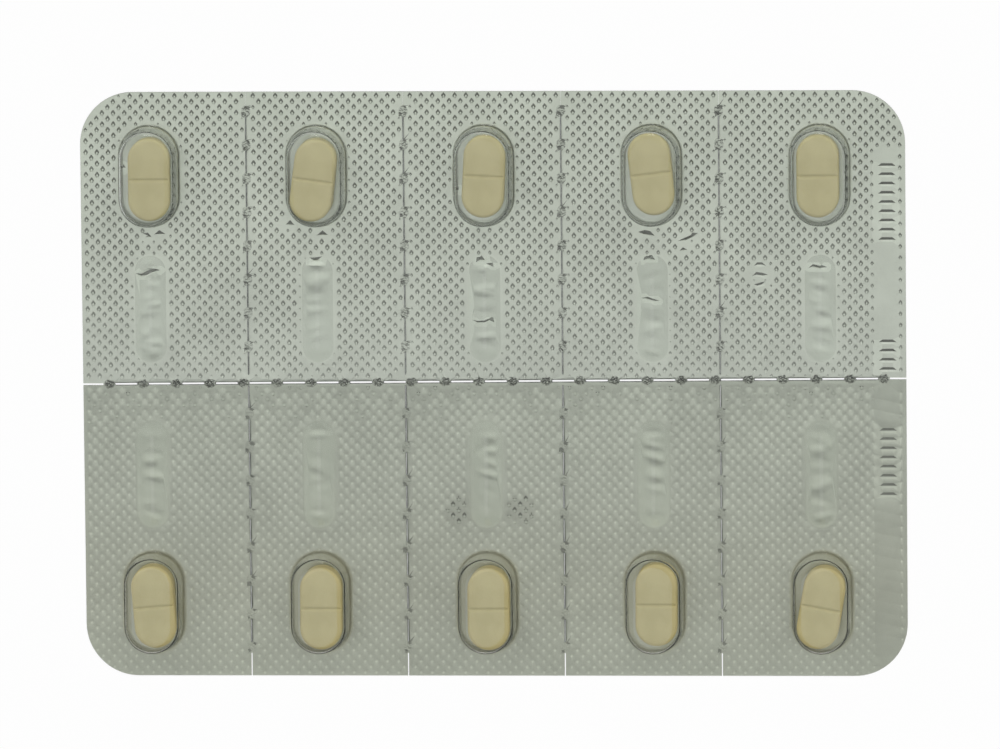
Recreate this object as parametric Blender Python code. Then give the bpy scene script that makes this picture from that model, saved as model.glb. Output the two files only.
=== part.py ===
"""Pill blister pack: ten pockets and ten stiffening beads formed in one sheet of clear film, sealed to a
flat aluminium lidding foil, with a scored oblong tablet loose in each pocket.

The pack lies on its foil with the pockets up. +Z is up, +X runs along the pack and +Y across it. The
origin is at the centre of the foil's underside. Lengths are in metres.
"""

import math
from dataclasses import dataclass

import bmesh
import bpy
from mathutils import Matrix, Vector

# A tablet: a flat oblong with rounded edges and a V score across each face
TABLET_LENGTH = 0.0094
TABLET_WIDTH = 0.0048
TABLET_THICKNESS = 0.0036
TABLET_EDGE_INSET = 0.00045
TABLET_EDGE_DROP = 0.0004
SCORE_WIDTH = 0.0005
SCORE_DEPTH = 0.00025

# The two sheets, and the coat of lacquer that seals them together
FOIL_THICKNESS = 0.00004
SEAL_COAT_THICKNESS = 0.00002
FILM_THICKNESS = 0.00025
CROWN_THICKNESS = 0.00015

# A pocket: the play it leaves a tablet beside, beyond and above it, its rounds and its draft
POCKET_SIDE_PLAY = 0.000546
POCKET_END_PLAY = 0.000596
POCKET_HEAD_PLAY = 0.00089
POCKET_FOOT_RADIUS = 0.00035
POCKET_CROWN_RADIUS = 0.0009
POCKET_DRAFT_DEGREES = 4.5
TABLET_CLEARANCE = 0.00003

# A stiffening bead: its outline at the flange, its height above the flange, its rounds and its draft
BEAD_LENGTH = 0.0125
BEAD_WIDTH = 0.0038
BEAD_HEIGHT = 0.0008
BEAD_FOOT_RADIUS = 0.0005
BEAD_CROWN_RADIUS = 0.0008
BEAD_DRAFT_DEGREES = 50.0

# The flat lands of the flange: along the pack beside the pockets, and across it from its lower edge up,
# past a pocket, a bead, the middle, the other bead and the other pocket
COLUMN_COUNT = 5
LEFT_LAND = 0.00409
COLUMN_LAND = 0.01163
RIGHT_LAND = 0.00599
LOWER_LAND = 0.00237
LOWER_BEAD_LAND = 0.00237
MIDDLE_LAND = 0.00642
UPPER_BEAD_LAND = 0.00287
UPPER_LAND = 0.00357
PACK_CORNER_RADIUS = 0.006

# Where each tablet has come to lie, row by row from the pack's -X end: its shift to +X, its shift to +Y
# and its turn, clockwise from above, as shares of the play that its pocket leaves it
TABLET_PLACE_SHARES = {
    "upper": (
        (0.58, -0.16, 0.0),
        (-0.18, -0.33, 0.6),
        (0.44, 0.4, 0.24),
        (0.28, 0.8, -0.5),
        (-0.18, 0.33, 0.0),
    ),
    "lower": (
        (0.45, -0.2, -0.33),
        (0.53, -0.5, 0.03),
        (0.6, -0.6, 0.0),
        (0.7, 0.2, 0.03),
        (0.0, -0.4, 0.78),
    ),
}

# The perforations: lines of through cuts with short bridges, four down the pack and one across it. Their
# tool is set a little off the formed layout, and its lines lie closer than the columns
DOWN_LINE_CREEP = 0.00115
DOWN_LINES_SHIFT_X = -0.00015
DOWN_CUT_WIDTH = 0.00014
DOWN_BRIDGE_PLACE_Y = 0.0005
ACROSS_LINE_SHIFT_Y = 0.00118
ACROSS_LINE_TURN_DEGREES = 0.36
ACROSS_CUT_WIDTH = 0.00028
ACROSS_BRIDGE_PLACE_X = -0.0017
CUT_PITCH = 0.00383
BRIDGE_LENGTH = 0.0013
CUT_OVERRUN = 0.001

# Straight steps that stand for each round; those of a form's skins are for its foot and its crown
CORNER_STEPS = 6
POCKET_END_STEPS = 8
POCKET_OUTER_STEPS = (2, 3)
POCKET_INNER_STEPS = (1, 2)
BEAD_END_STEPS = 6
BEAD_OUTER_STEPS = (1, 2)
BEAD_INNER_STEPS = (1, 1)
TABLET_END_STEPS = 8
TABLET_EDGE_STEPS = 2
SHARP_EDGE_DEGREES = 35.0

# Material colours and roughness
CLEAR_FILM_COLOUR = (0.93, 0.95, 0.94)
CLEAR_FILM_ROUGHNESS = 0.06
FOIL_COLOUR = (0.40, 0.43, 0.38)
FOIL_ROUGHNESS = 0.3
TABLET_COLOUR = (0.44, 0.41, 0.24)
TABLET_ROUGHNESS = 0.6


def crown_inset(height, foot_radius, crown_radius, draft):
    """How far inside a form's outline the centre of its crown's rounds lies."""
    arcs = foot_radius + crown_radius
    straight = height - arcs * (1 - math.sin(draft))
    return arcs * math.cos(draft) + straight * math.tan(draft)


# Levels that follow from the sheets and the tablet
FLANGE_BOTTOM = FOIL_THICKNESS + SEAL_COAT_THICKNESS
FLANGE_TOP = FLANGE_BOTTOM + FILM_THICKNESS
TABLET_BOTTOM = FOIL_THICKNESS + TABLET_CLEARANCE
POCKET_TOP = TABLET_BOTTOM + TABLET_THICKNESS + POCKET_HEAD_PLAY + CROWN_THICKNESS
POCKET_HEIGHT = POCKET_TOP - FLANGE_TOP

# A pocket's outline at the flange, from its tablet outwards
POCKET_DRAFT = math.radians(POCKET_DRAFT_DEGREES)
POCKET_CROWN_INSET = crown_inset(POCKET_HEIGHT, POCKET_FOOT_RADIUS, POCKET_CROWN_RADIUS, POCKET_DRAFT)
POCKET_INNER_RADIUS = POCKET_CROWN_RADIUS - CROWN_THICKNESS
POCKET_WALL_INSET = POCKET_CROWN_INSET - POCKET_INNER_RADIUS * math.cos(POCKET_DRAFT)
POCKET_LENGTH = TABLET_LENGTH + 2 * (POCKET_END_PLAY + POCKET_WALL_INSET)
POCKET_WIDTH = TABLET_WIDTH + 2 * (POCKET_SIDE_PLAY + POCKET_WALL_INSET)

# The pack's outline, the same for the film and the foil, and where the forms and the cuts lie in it
COLUMN_PITCH = POCKET_WIDTH + COLUMN_LAND
COLUMNS_SPAN = (COLUMN_COUNT - 1) * COLUMN_PITCH
PACK_LENGTH = LEFT_LAND + POCKET_WIDTH + COLUMNS_SPAN + RIGHT_LAND
LOWER_HALF = LOWER_LAND + POCKET_LENGTH + LOWER_BEAD_LAND + BEAD_LENGTH
UPPER_HALF = UPPER_LAND + POCKET_LENGTH + UPPER_BEAD_LAND + BEAD_LENGTH
PACK_WIDTH = LOWER_HALF + MIDDLE_LAND + UPPER_HALF
LAYOUT_MIDDLE_X = (LEFT_LAND - RIGHT_LAND) / 2
MIDDLE_LAND_Y = (LOWER_HALF - UPPER_HALF) / 2
POCKET_ROWS = {
    "upper": PACK_WIDTH / 2 - UPPER_LAND - POCKET_LENGTH / 2,
    "lower": LOWER_LAND + POCKET_LENGTH / 2 - PACK_WIDTH / 2,
}
BEAD_ROWS = {
    "upper": MIDDLE_LAND_Y + (MIDDLE_LAND + BEAD_LENGTH) / 2,
    "lower": MIDDLE_LAND_Y - (MIDDLE_LAND + BEAD_LENGTH) / 2,
}
DOWN_LINE_PITCH = COLUMN_PITCH - DOWN_LINE_CREEP
ACROSS_LINE_Y = MIDDLE_LAND_Y + ACROSS_LINE_SHIFT_Y


@dataclass(frozen=True)
class Form:
    """A stadium-shaped form drawn up from the film, its long side along Y."""

    length: float
    width: float
    height: float
    foot_radius: float
    crown_radius: float
    draft: float
    end_steps: int
    outer_steps: tuple
    inner_steps: tuple

    def profile(self, foot_wall, crown_wall, steps):
        """(inset, level) of each ring up the form, for a skin this far inside the outer face."""
        foot_steps, crown_steps = steps
        foot_level = FLANGE_TOP + self.foot_radius
        foot_radius = self.foot_radius + foot_wall
        foot = arc(0, foot_level, foot_radius, -math.pi / 2, -self.draft, foot_steps)
        inset = crown_inset(self.height, self.foot_radius, self.crown_radius, self.draft)
        level = FLANGE_TOP + self.height - self.crown_radius
        crown_radius = self.crown_radius - crown_wall
        crown = arc(inset, level, crown_radius, math.pi - self.draft, math.pi / 2, crown_steps)
        return foot + crown


POCKET = Form(
    POCKET_LENGTH,
    POCKET_WIDTH,
    POCKET_HEIGHT,
    POCKET_FOOT_RADIUS,
    POCKET_CROWN_RADIUS,
    POCKET_DRAFT,
    POCKET_END_STEPS,
    POCKET_OUTER_STEPS,
    POCKET_INNER_STEPS,
)
BEAD = Form(
    BEAD_LENGTH,
    BEAD_WIDTH,
    BEAD_HEIGHT,
    BEAD_FOOT_RADIUS,
    BEAD_CROWN_RADIUS,
    math.radians(BEAD_DRAFT_DEGREES),
    BEAD_END_STEPS,
    BEAD_OUTER_STEPS,
    BEAD_INNER_STEPS,
)


def arc(centre_u, centre_v, radius, start, end, steps):
    """Points on a round from one angle to the other."""
    points = []
    for step in range(steps + 1):
        angle = start + (end - start) * step / steps
        points.append((centre_u + radius * math.cos(angle), centre_v + radius * math.sin(angle)))
    return points


def stadium(length, width, steps):
    """Outline of a stadium whose long side runs along Y, anticlockwise."""
    radius = width / 2
    end = (length - width) / 2
    return arc(0, end, radius, 0, math.pi, steps) + arc(0, -end, radius, math.pi, 2 * math.pi, steps)


def rounded_rectangle(length, width, radius, steps):
    """Outline of a rectangle with round corners, its long side along X, anticlockwise."""
    outline = []
    for quarter, (side_x, side_y) in enumerate(((1, 1), (-1, 1), (-1, -1), (1, -1))):
        start = quarter * math.pi / 2
        centre_x = side_x * (length / 2 - radius)
        centre_y = side_y * (width / 2 - radius)
        outline += arc(centre_x, centre_y, radius, start, start + math.pi / 2, steps)
    return outline


def column_places():
    """X of each column of pockets and beads."""
    first = LAYOUT_MIDDLE_X - COLUMNS_SPAN / 2
    return [first + column * COLUMN_PITCH for column in range(COLUMN_COUNT)]


def down_line_places():
    """X of each perforation line down the pack."""
    line_count = COLUMN_COUNT - 1
    first = LAYOUT_MIDDLE_X + DOWN_LINES_SHIFT_X - (line_count - 1) / 2 * DOWN_LINE_PITCH
    return [first + line * DOWN_LINE_PITCH for line in range(line_count)]


def ring(mesh, outline, level, centre=(0, 0)):
    """New vertices round an outline at one level."""
    return [mesh.verts.new((centre[0] + x, centre[1] + y, level)) for x, y in outline]


def ring_edges(mesh, verts):
    """New edges that close a ring."""
    return [mesh.edges.new((verts[i - 1], verts[i])) for i in range(len(verts))]


def skin(mesh, lower, upper):
    """Quads between two rings of as many vertices."""
    for i in range(len(lower)):
        mesh.faces.new((lower[i - 1], lower[i], upper[i], upper[i - 1]))


def draw_form(mesh, form, centre, profile):
    """One skin of a form, closed at its crown, and the edges of its foot."""
    rings = []
    for inset, level in profile:
        outline = stadium(form.length - 2 * inset, form.width - 2 * inset, form.end_steps)
        rings.append(ring(mesh, outline, level, centre))
    foot_edges = ring_edges(mesh, rings[0])
    for lower, upper in zip(rings, rings[1:]):
        skin(mesh, lower, upper)
    mesh.faces.new(rings[-1])
    return foot_edges


def finish_mesh(mesh, name):
    """A Blender mesh with its faces turned outwards and its rounds shaded smooth."""
    bmesh.ops.recalc_face_normals(mesh, faces=mesh.faces)
    data = bpy.data.meshes.new(name)
    mesh.to_mesh(data)
    mesh.free()
    data.shade_smooth()
    data.set_sharp_from_angle(angle=math.radians(SHARP_EDGE_DEGREES))
    return data


def add_object(name, data, parent=None, material=None):
    """An object in the scene, under its parent and with its material."""
    made = bpy.data.objects.new(name, data)
    bpy.context.scene.collection.objects.link(made)
    made.parent = parent
    if material:
        data.materials.append(material)
    return made


def make_material(name, colour, roughness, metallic=0.0, transmission=0.0):
    """A Principled material in one colour."""
    made = bpy.data.materials.new(name)
    made.use_nodes = True
    shader = made.node_tree.nodes["Principled BSDF"]
    shader.inputs["Base Color"].default_value = (*colour, 1.0)
    shader.inputs["Roughness"].default_value = roughness
    shader.inputs["Metallic"].default_value = metallic
    shader.inputs["Transmission Weight"].default_value = transmission
    return made


def cut_spans(low, high, bridge_place):
    """Start and end of each cut along a line that runs out at both ends; one bridge is at bridge_place."""
    first = math.ceil((low + BRIDGE_LENGTH - bridge_place) / CUT_PITCH)
    last = math.floor((high - BRIDGE_LENGTH - bridge_place) / CUT_PITCH)
    spans = []
    start = low - CUT_OVERRUN
    for step in range(first, last + 1):
        bridge = bridge_place + step * CUT_PITCH
        spans.append((start, bridge - BRIDGE_LENGTH / 2))
        start = bridge + BRIDGE_LENGTH / 2
    spans.append((start, high + CUT_OVERRUN))
    return spans


def add_teeth(mesh, spans, cut_width, depth, line):
    """A bar for each cut of one line; the line's matrix turns the bars' X axis along it."""
    for start, end in spans:
        place = Matrix.Translation(((start + end) / 2, 0, depth / 2))
        size = Matrix.Diagonal((end - start, cut_width, 2 * depth, 1))
        bmesh.ops.create_cube(mesh, size=1, matrix=line @ place @ size)


def make_perforation_knife(parent):
    """The teeth that cut the film and the foil through, as one hidden cutter."""
    mesh = bmesh.new()
    depth = FLANGE_TOP
    turn = math.radians(ACROSS_LINE_TURN_DEGREES)
    across = Matrix.Translation((0, ACROSS_LINE_Y, 0)) @ Matrix.Rotation(turn, 4, "Z")
    spans = cut_spans(-PACK_LENGTH / 2, PACK_LENGTH / 2, ACROSS_BRIDGE_PLACE_X)
    add_teeth(mesh, spans, ACROSS_CUT_WIDTH, depth, across)
    spans = cut_spans(-PACK_WIDTH / 2, PACK_WIDTH / 2, DOWN_BRIDGE_PLACE_Y)
    for x in down_line_places():
        down = Matrix.Translation((x, 0, 0)) @ Matrix.Rotation(math.pi / 2, 4, "Z")
        add_teeth(mesh, spans, DOWN_CUT_WIDTH, depth, down)
    knife = add_object("perforation_knife", finish_mesh(mesh, "perforation_knife"), parent)
    knife.hide_render = True
    knife.display_type = "WIRE"
    return knife


def cut_with(piece, cutter):
    """A Boolean that takes the cutter out of the piece; the cutter's own bars may cross each other."""
    cut = piece.modifiers.new(cutter.name, "BOOLEAN")
    cut.operation = "DIFFERENCE"
    cut.solver = "EXACT"
    cut.use_self = True
    cut.object = cutter


def make_forming_film(parent, knife):
    """One sheet of clear film: a flat flange with ten pockets and ten beads drawn up from it."""
    mesh = bmesh.new()
    outline = rounded_rectangle(PACK_LENGTH, PACK_WIDTH, PACK_CORNER_RADIUS, CORNER_STEPS)
    bottom = ring(mesh, outline, FLANGE_BOTTOM)
    top = ring(mesh, outline, FLANGE_TOP)
    skin(mesh, bottom, top)
    for edge, foot_wall, crown_wall in ((top, 0, 0), (bottom, FILM_THICKNESS, CROWN_THICKNESS)):
        sheet_edges = [mesh.edges.get((edge[i - 1], edge[i])) for i in range(len(edge))]
        for form, rows in ((POCKET, POCKET_ROWS), (BEAD, BEAD_ROWS)):
            steps = form.outer_steps if edge is top else form.inner_steps
            profile = form.profile(foot_wall, crown_wall, steps)
            for x in column_places():
                for y in rows.values():
                    sheet_edges += draw_form(mesh, form, (x, y), profile)
        bmesh.ops.triangle_fill(mesh, use_beauty=True, edges=sheet_edges)
    clear = make_material("clear_film", CLEAR_FILM_COLOUR, CLEAR_FILM_ROUGHNESS, transmission=1)
    film = add_object("forming_film", finish_mesh(mesh, "forming_film"), parent, clear)
    cut_with(film, knife)
    return film


def make_lidding_foil(parent, knife):
    """The flat foil that closes the pockets from below."""
    mesh = bmesh.new()
    outline = rounded_rectangle(PACK_LENGTH, PACK_WIDTH, PACK_CORNER_RADIUS, CORNER_STEPS)
    bottom = ring(mesh, outline, 0)
    top = ring(mesh, outline, FOIL_THICKNESS)
    skin(mesh, bottom, top)
    mesh.faces.new(bottom)
    mesh.faces.new(top)
    aluminium = make_material("lidding_foil", FOIL_COLOUR, FOIL_ROUGHNESS, metallic=1)
    foil = add_object("lidding_foil", finish_mesh(mesh, "lidding_foil"), parent, aluminium)
    cut_with(foil, knife)
    return foil


def make_score_cutter():
    """A wedge across each face of a tablet."""
    mesh = bmesh.new()
    reach = TABLET_WIDTH / 2 + CUT_OVERRUN
    # The wedge goes on widening above the face at the score's own slope
    rise = CUT_OVERRUN
    half_width = SCORE_WIDTH / 2 * (SCORE_DEPTH + rise) / SCORE_DEPTH
    for face_level, out in ((0, -1), (TABLET_THICKNESS, 1)):
        root = face_level - out * SCORE_DEPTH
        mouth = face_level + out * rise
        section = ((0, root), (half_width, mouth), (-half_width, mouth))
        near = [mesh.verts.new((-reach, y, z)) for y, z in section]
        far = [mesh.verts.new((reach, y, z)) for y, z in section]
        skin(mesh, near, far)
        mesh.faces.new(near)
        mesh.faces.new(far)
    return add_object("score_cutter", finish_mesh(mesh, "score_cutter"))


def make_tablet_mesh():
    """The mesh that the ten tablets share: rings up a stadium, scored across both faces."""
    unit_round = arc(0, 0, 1, math.pi / 2, 0, TABLET_EDGE_STEPS)
    lower = [(TABLET_EDGE_INSET * (1 - u), TABLET_EDGE_DROP * (1 - v)) for u, v in unit_round]
    upper = [(inset, TABLET_THICKNESS - level) for inset, level in reversed(lower)]
    mesh = bmesh.new()
    rings = []
    for inset, level in lower + upper:
        outline = stadium(TABLET_LENGTH - 2 * inset, TABLET_WIDTH - 2 * inset, TABLET_END_STEPS)
        rings.append(ring(mesh, outline, level))
    for below, above in zip(rings, rings[1:]):
        skin(mesh, below, above)
    mesh.faces.new(rings[0])
    mesh.faces.new(rings[-1])
    blank = add_object("tablet_blank", finish_mesh(mesh, "tablet_blank"))
    cutter = make_score_cutter()
    cut_with(blank, cutter)
    graph = bpy.context.evaluated_depsgraph_get()
    scored = bpy.data.meshes.new_from_object(blank.evaluated_get(graph))
    scored.name = "tablet"
    for helper in (blank, cutter):
        bpy.data.objects.remove(helper)
    return scored


def make_tablets(parent):
    """Ten loose tablets, each where it lies in its pocket."""
    shared = make_tablet_mesh()
    shared.materials.append(make_material("pressed_tablet", TABLET_COLOUR, TABLET_ROUGHNESS))
    arm = (TABLET_LENGTH - TABLET_WIDTH) / 2
    number = 0
    for row, y in POCKET_ROWS.items():
        for x, (x_share, y_share, turn_share) in zip(column_places(), TABLET_PLACE_SHARES[row]):
            number += 1
            tablet = add_object(f"tablet_{number:02d}", shared, parent)
            shift = Vector((x_share * POCKET_SIDE_PLAY, y_share * POCKET_END_PLAY, 0))
            tablet.location = Vector((x, y, TABLET_BOTTOM)) + shift
            tablet.rotation_euler.z = -math.atan(turn_share * POCKET_SIDE_PLAY / arm)


def main():
    for old in list(bpy.data.objects):
        bpy.data.objects.remove(old)
    pack = add_object("blister_pack", None)
    knife = make_perforation_knife(pack)
    make_lidding_foil(pack, knife)
    make_forming_film(pack, knife)
    make_tablets(pack)


main()
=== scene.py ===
"""Looks of the pill blister pack: a knurled lidding foil, a clear formed film and ten pressed tablets.

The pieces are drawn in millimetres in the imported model's own frame, turned into metres as their meshes are
made, and laid on a plain pale floor under soft studio light, with the camera at the photo's angle.
"""

import logging
import math
from collections.abc import Callable
from dataclasses import dataclass, field
from enum import Enum, IntEnum

import bpy
import numpy as np
from mathutils import Matrix, Vector
from mathutils.geometry import delaunay_2d_cdt


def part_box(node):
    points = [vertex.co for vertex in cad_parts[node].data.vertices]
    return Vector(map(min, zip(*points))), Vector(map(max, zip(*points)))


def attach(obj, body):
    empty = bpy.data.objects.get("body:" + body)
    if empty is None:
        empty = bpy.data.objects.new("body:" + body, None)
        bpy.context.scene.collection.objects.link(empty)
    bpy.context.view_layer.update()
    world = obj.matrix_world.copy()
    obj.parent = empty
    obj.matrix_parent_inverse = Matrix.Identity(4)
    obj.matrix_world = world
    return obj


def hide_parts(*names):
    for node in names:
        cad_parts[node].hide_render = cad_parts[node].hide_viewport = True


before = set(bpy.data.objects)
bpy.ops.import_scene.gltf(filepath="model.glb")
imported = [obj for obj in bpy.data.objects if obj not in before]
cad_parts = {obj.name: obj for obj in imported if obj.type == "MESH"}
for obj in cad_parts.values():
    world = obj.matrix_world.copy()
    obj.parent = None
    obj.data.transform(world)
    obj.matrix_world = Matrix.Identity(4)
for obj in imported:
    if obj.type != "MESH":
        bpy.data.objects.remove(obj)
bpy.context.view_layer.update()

MM = 0.001
BODY = "root"
log = logging.getLogger("blister_pack")


class Slot(Enum):
    """The material slots of the pack's pieces."""

    CLEAR_FILM = "clear_film"
    FOIL = "foil"
    TABLET = "tablet"


class Side(Enum):
    """The pack's sides, each with the way it looks."""

    RIGHT = (1, 0)
    TOP = (0, 1)
    LEFT = (-1, 0)
    BOTTOM = (0, -1)


class FoilPart(IntEnum):
    """The finishes of the foil, numbered as its materials are: the land and its lit and shaded copies, which
    paint light and shade.
    """

    LAND = 0
    # Painted highlight on pit bottoms and on the ticks' walls that face the light.
    BRIGHT_PIT = 1
    # Painted shade on pit walls and crumple sides that face away from the light.
    SHADED_FOLD = 2
    # Painted soft shade on the crumples and on the foil under the pockets.
    CRUMPLED = 3
    # Dark painted shade on crushed parts of crumples and on crease, tick and lower pit walls that face away
    # from the light.
    DARK_CRUMPLE = 4
    # Painted light and shade on the foil under the beads: darker in the upper row, a little brighter in the
    # lower.
    LOOSE = 5


class FilmPart(IntEnum):
    """The finishes of the film, numbered as its materials are."""

    FLAT = 0
    # Painted shade on the cuts' edges.
    CRUSHED_EDGE = 1
    CROWN = 2
    FOOT = 3
    LOW_POCKET = 4


def arc(centre: tuple, radius: float, start: float, end: float, steps: int) -> np.ndarray:
    """Points on a round.

    Args:
        centre: The round's centre.
        radius: Its radius.
        start: Angle of the first point.
        end: Angle of the last point.
        steps: Straight steps between them.

    Returns:
        The points, one a row.
    """
    angles = np.linspace(start, end, steps + 1)
    return np.column_stack((centre[0] + radius * np.cos(angles), centre[1] + radius * np.sin(angles)))


def stadium(length: float, width: float, steps: int) -> np.ndarray:
    """Outline of a stadium whose long side runs along Y, anticlockwise.

    Args:
        length: Its length over the round ends.
        width: Its width.
        steps: Straight steps round each end.

    Returns:
        The outline's points.
    """
    end = (length - width) / 2
    upper = arc((0, end), width / 2, 0, math.pi, steps)
    lower = arc((0, -end), width / 2, math.pi, 2 * math.pi, steps)
    return np.vstack((upper, lower))


def stadium_distance(points: np.ndarray, centre: tuple, length: float, width: float) -> np.ndarray:
    """How far outside a stadium along Y each point lies, negative inside it.

    Args:
        points: The points.
        centre: The stadium's centre.
        length: Its length over the round ends.
        width: Its width.

    Returns:
        One distance for each point.
    """
    half = (length - width) / 2
    off = np.abs(points - np.asarray(centre))
    return np.hypot(off[:, 0], np.maximum(off[:, 1] - half, 0)) - width / 2


def line_distance(points: np.ndarray, line: np.ndarray) -> tuple[np.ndarray, np.ndarray]:
    """How far each point lies from a polyline.

    Args:
        points: The points.
        line: The polyline's corners.

    Returns:
        The distance of each point, and where along the line its nearest place is, from 0 to 1.
    """
    best = np.full(len(points), np.inf)
    along = np.zeros(len(points))
    lengths = np.hypot(*(line[1:] - line[:-1]).T)
    before = np.concatenate(((0,), np.cumsum(lengths)))
    for start, end, length, done in zip(line, line[1:], lengths, before):
        share = np.clip((points - start) @ (end - start) / length**2, 0, 1)
        gap = np.hypot(*(points - start - share[:, None] * (end - start)).T)
        nearer = gap < best
        best[nearer] = gap[nearer]
        along[nearer] = (done + share[nearer] * length) / before[-1]
    return best, along


def smooth_step(value: np.ndarray) -> np.ndarray:
    """An even rise from 0 to 1 as the value goes from 0 to 1."""
    held = np.clip(value, 0, 1)
    return held * held * (3 - 2 * held)


class Lie(Enum):
    """What a point of a face belongs to, which decides how the triangles there are shaded."""

    LAND = 0
    PIT_RIM = 1
    PIT_BOTTOM = 2
    SOFT = 3
    CREASE = 4
    CRUMPLE = 5
    # Points of a crumple's crushed part, which get painted shade.
    DARK_CRUMPLE = 6
    FLOOR = 7
    TICK = 8


class PlanSheet:
    """One face of a level sheet, as loops, lines and points in plan that are then triangulated."""

    MERGE = 1e-6
    TOLERANCE = 1e-3

    def __init__(self) -> None:
        """Starts an empty face."""
        self.points: list[np.ndarray] = []
        self.levels: list[np.ndarray] = []
        self.lies: list[np.ndarray] = []
        self.edges: list[np.ndarray] = []
        self.holes: list[np.ndarray] = []
        self.count = 0

    def add_points(self, points: np.ndarray, level: float | np.ndarray, lie: Lie = Lie.LAND) -> np.ndarray:
        """Adds points that no line joins.

        Args:
            points: The points.
            level: Their height, one for all or one each.
            lie: What they belong to.

        Returns:
            Their numbers.
        """
        numbers = np.arange(self.count, self.count + len(points))
        self.points.append(points)
        self.levels.append(np.broadcast_to(np.asarray(level, float), len(points)))
        self.lies.append(np.full(len(points), lie.value))
        self.count += len(points)
        return numbers

    def add_loop(
        self, loop: np.ndarray, level: float | np.ndarray, hole: bool = False, lie: Lie = Lie.LAND
    ) -> np.ndarray:
        """Adds a closed loop that the triangles keep to.

        Args:
            loop: Its points.
            level: Their height.
            hole: Whether the face is open inside it; the loop is then convex.
            lie: What its points belong to.

        Returns:
            The points' numbers.
        """
        numbers = self.add_points(loop, level, lie)
        self.edges.append(np.column_stack((numbers, np.roll(numbers, -1))))
        if hole:
            self.holes.append(loop)
        return numbers

    def add_line(self, line: np.ndarray, level: float | np.ndarray, lie: Lie = Lie.LAND) -> np.ndarray:
        """Adds an open line that the triangles keep to.

        Args:
            line: Its points.
            level: Their height.
            lie: What its points belong to.

        Returns:
            The points' numbers.
        """
        numbers = self.add_points(line, level, lie)
        self.edges.append(np.column_stack((numbers[:-1], numbers[1:])))
        return numbers

    def triangulate(self) -> tuple[np.ndarray, np.ndarray]:
        """Fills the face.

        Returns:
            Its points with their heights, in the order in which they were added, and its triangles.
        """
        plan = np.vstack(self.points)
        edges = np.vstack(self.edges)
        filled = delaunay_2d_cdt([Vector(p) for p in plan], edges.tolist(), [], 1, self.MERGE, False)
        made = np.array([tuple(v) for v in filled[0]])
        if len(made) != len(plan) or np.abs(made - plan).max() > self.TOLERANCE:
            raise ValueError(f"lines of a face cross: {len(plan)} points became {len(made)}")
        triangles = np.array(filled[2])
        corners = plan[triangles]
        one, two = corners[:, 1] - corners[:, 0], corners[:, 2] - corners[:, 0]
        clockwise = one[:, 0] * two[:, 1] < one[:, 1] * two[:, 0]
        triangles[clockwise] = triangles[clockwise][:, ::-1]
        middles = corners.mean(axis=1)
        kept = np.ones(len(triangles), bool)
        for loop in self.holes:
            low, high = loop.min(axis=0), loop.max(axis=0)
            near = np.flatnonzero(np.all((middles > low) & (middles < high), axis=1))
            side = np.roll(loop, -1, axis=0) - loop
            off = middles[near, None] - loop[None]
            inside = np.all(side[:, 0] * off[..., 1] - side[:, 1] * off[..., 0] > 0, axis=1)
            kept[near[inside]] = False
        return np.column_stack((plan, np.concatenate(self.levels))), triangles[kept]


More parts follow.
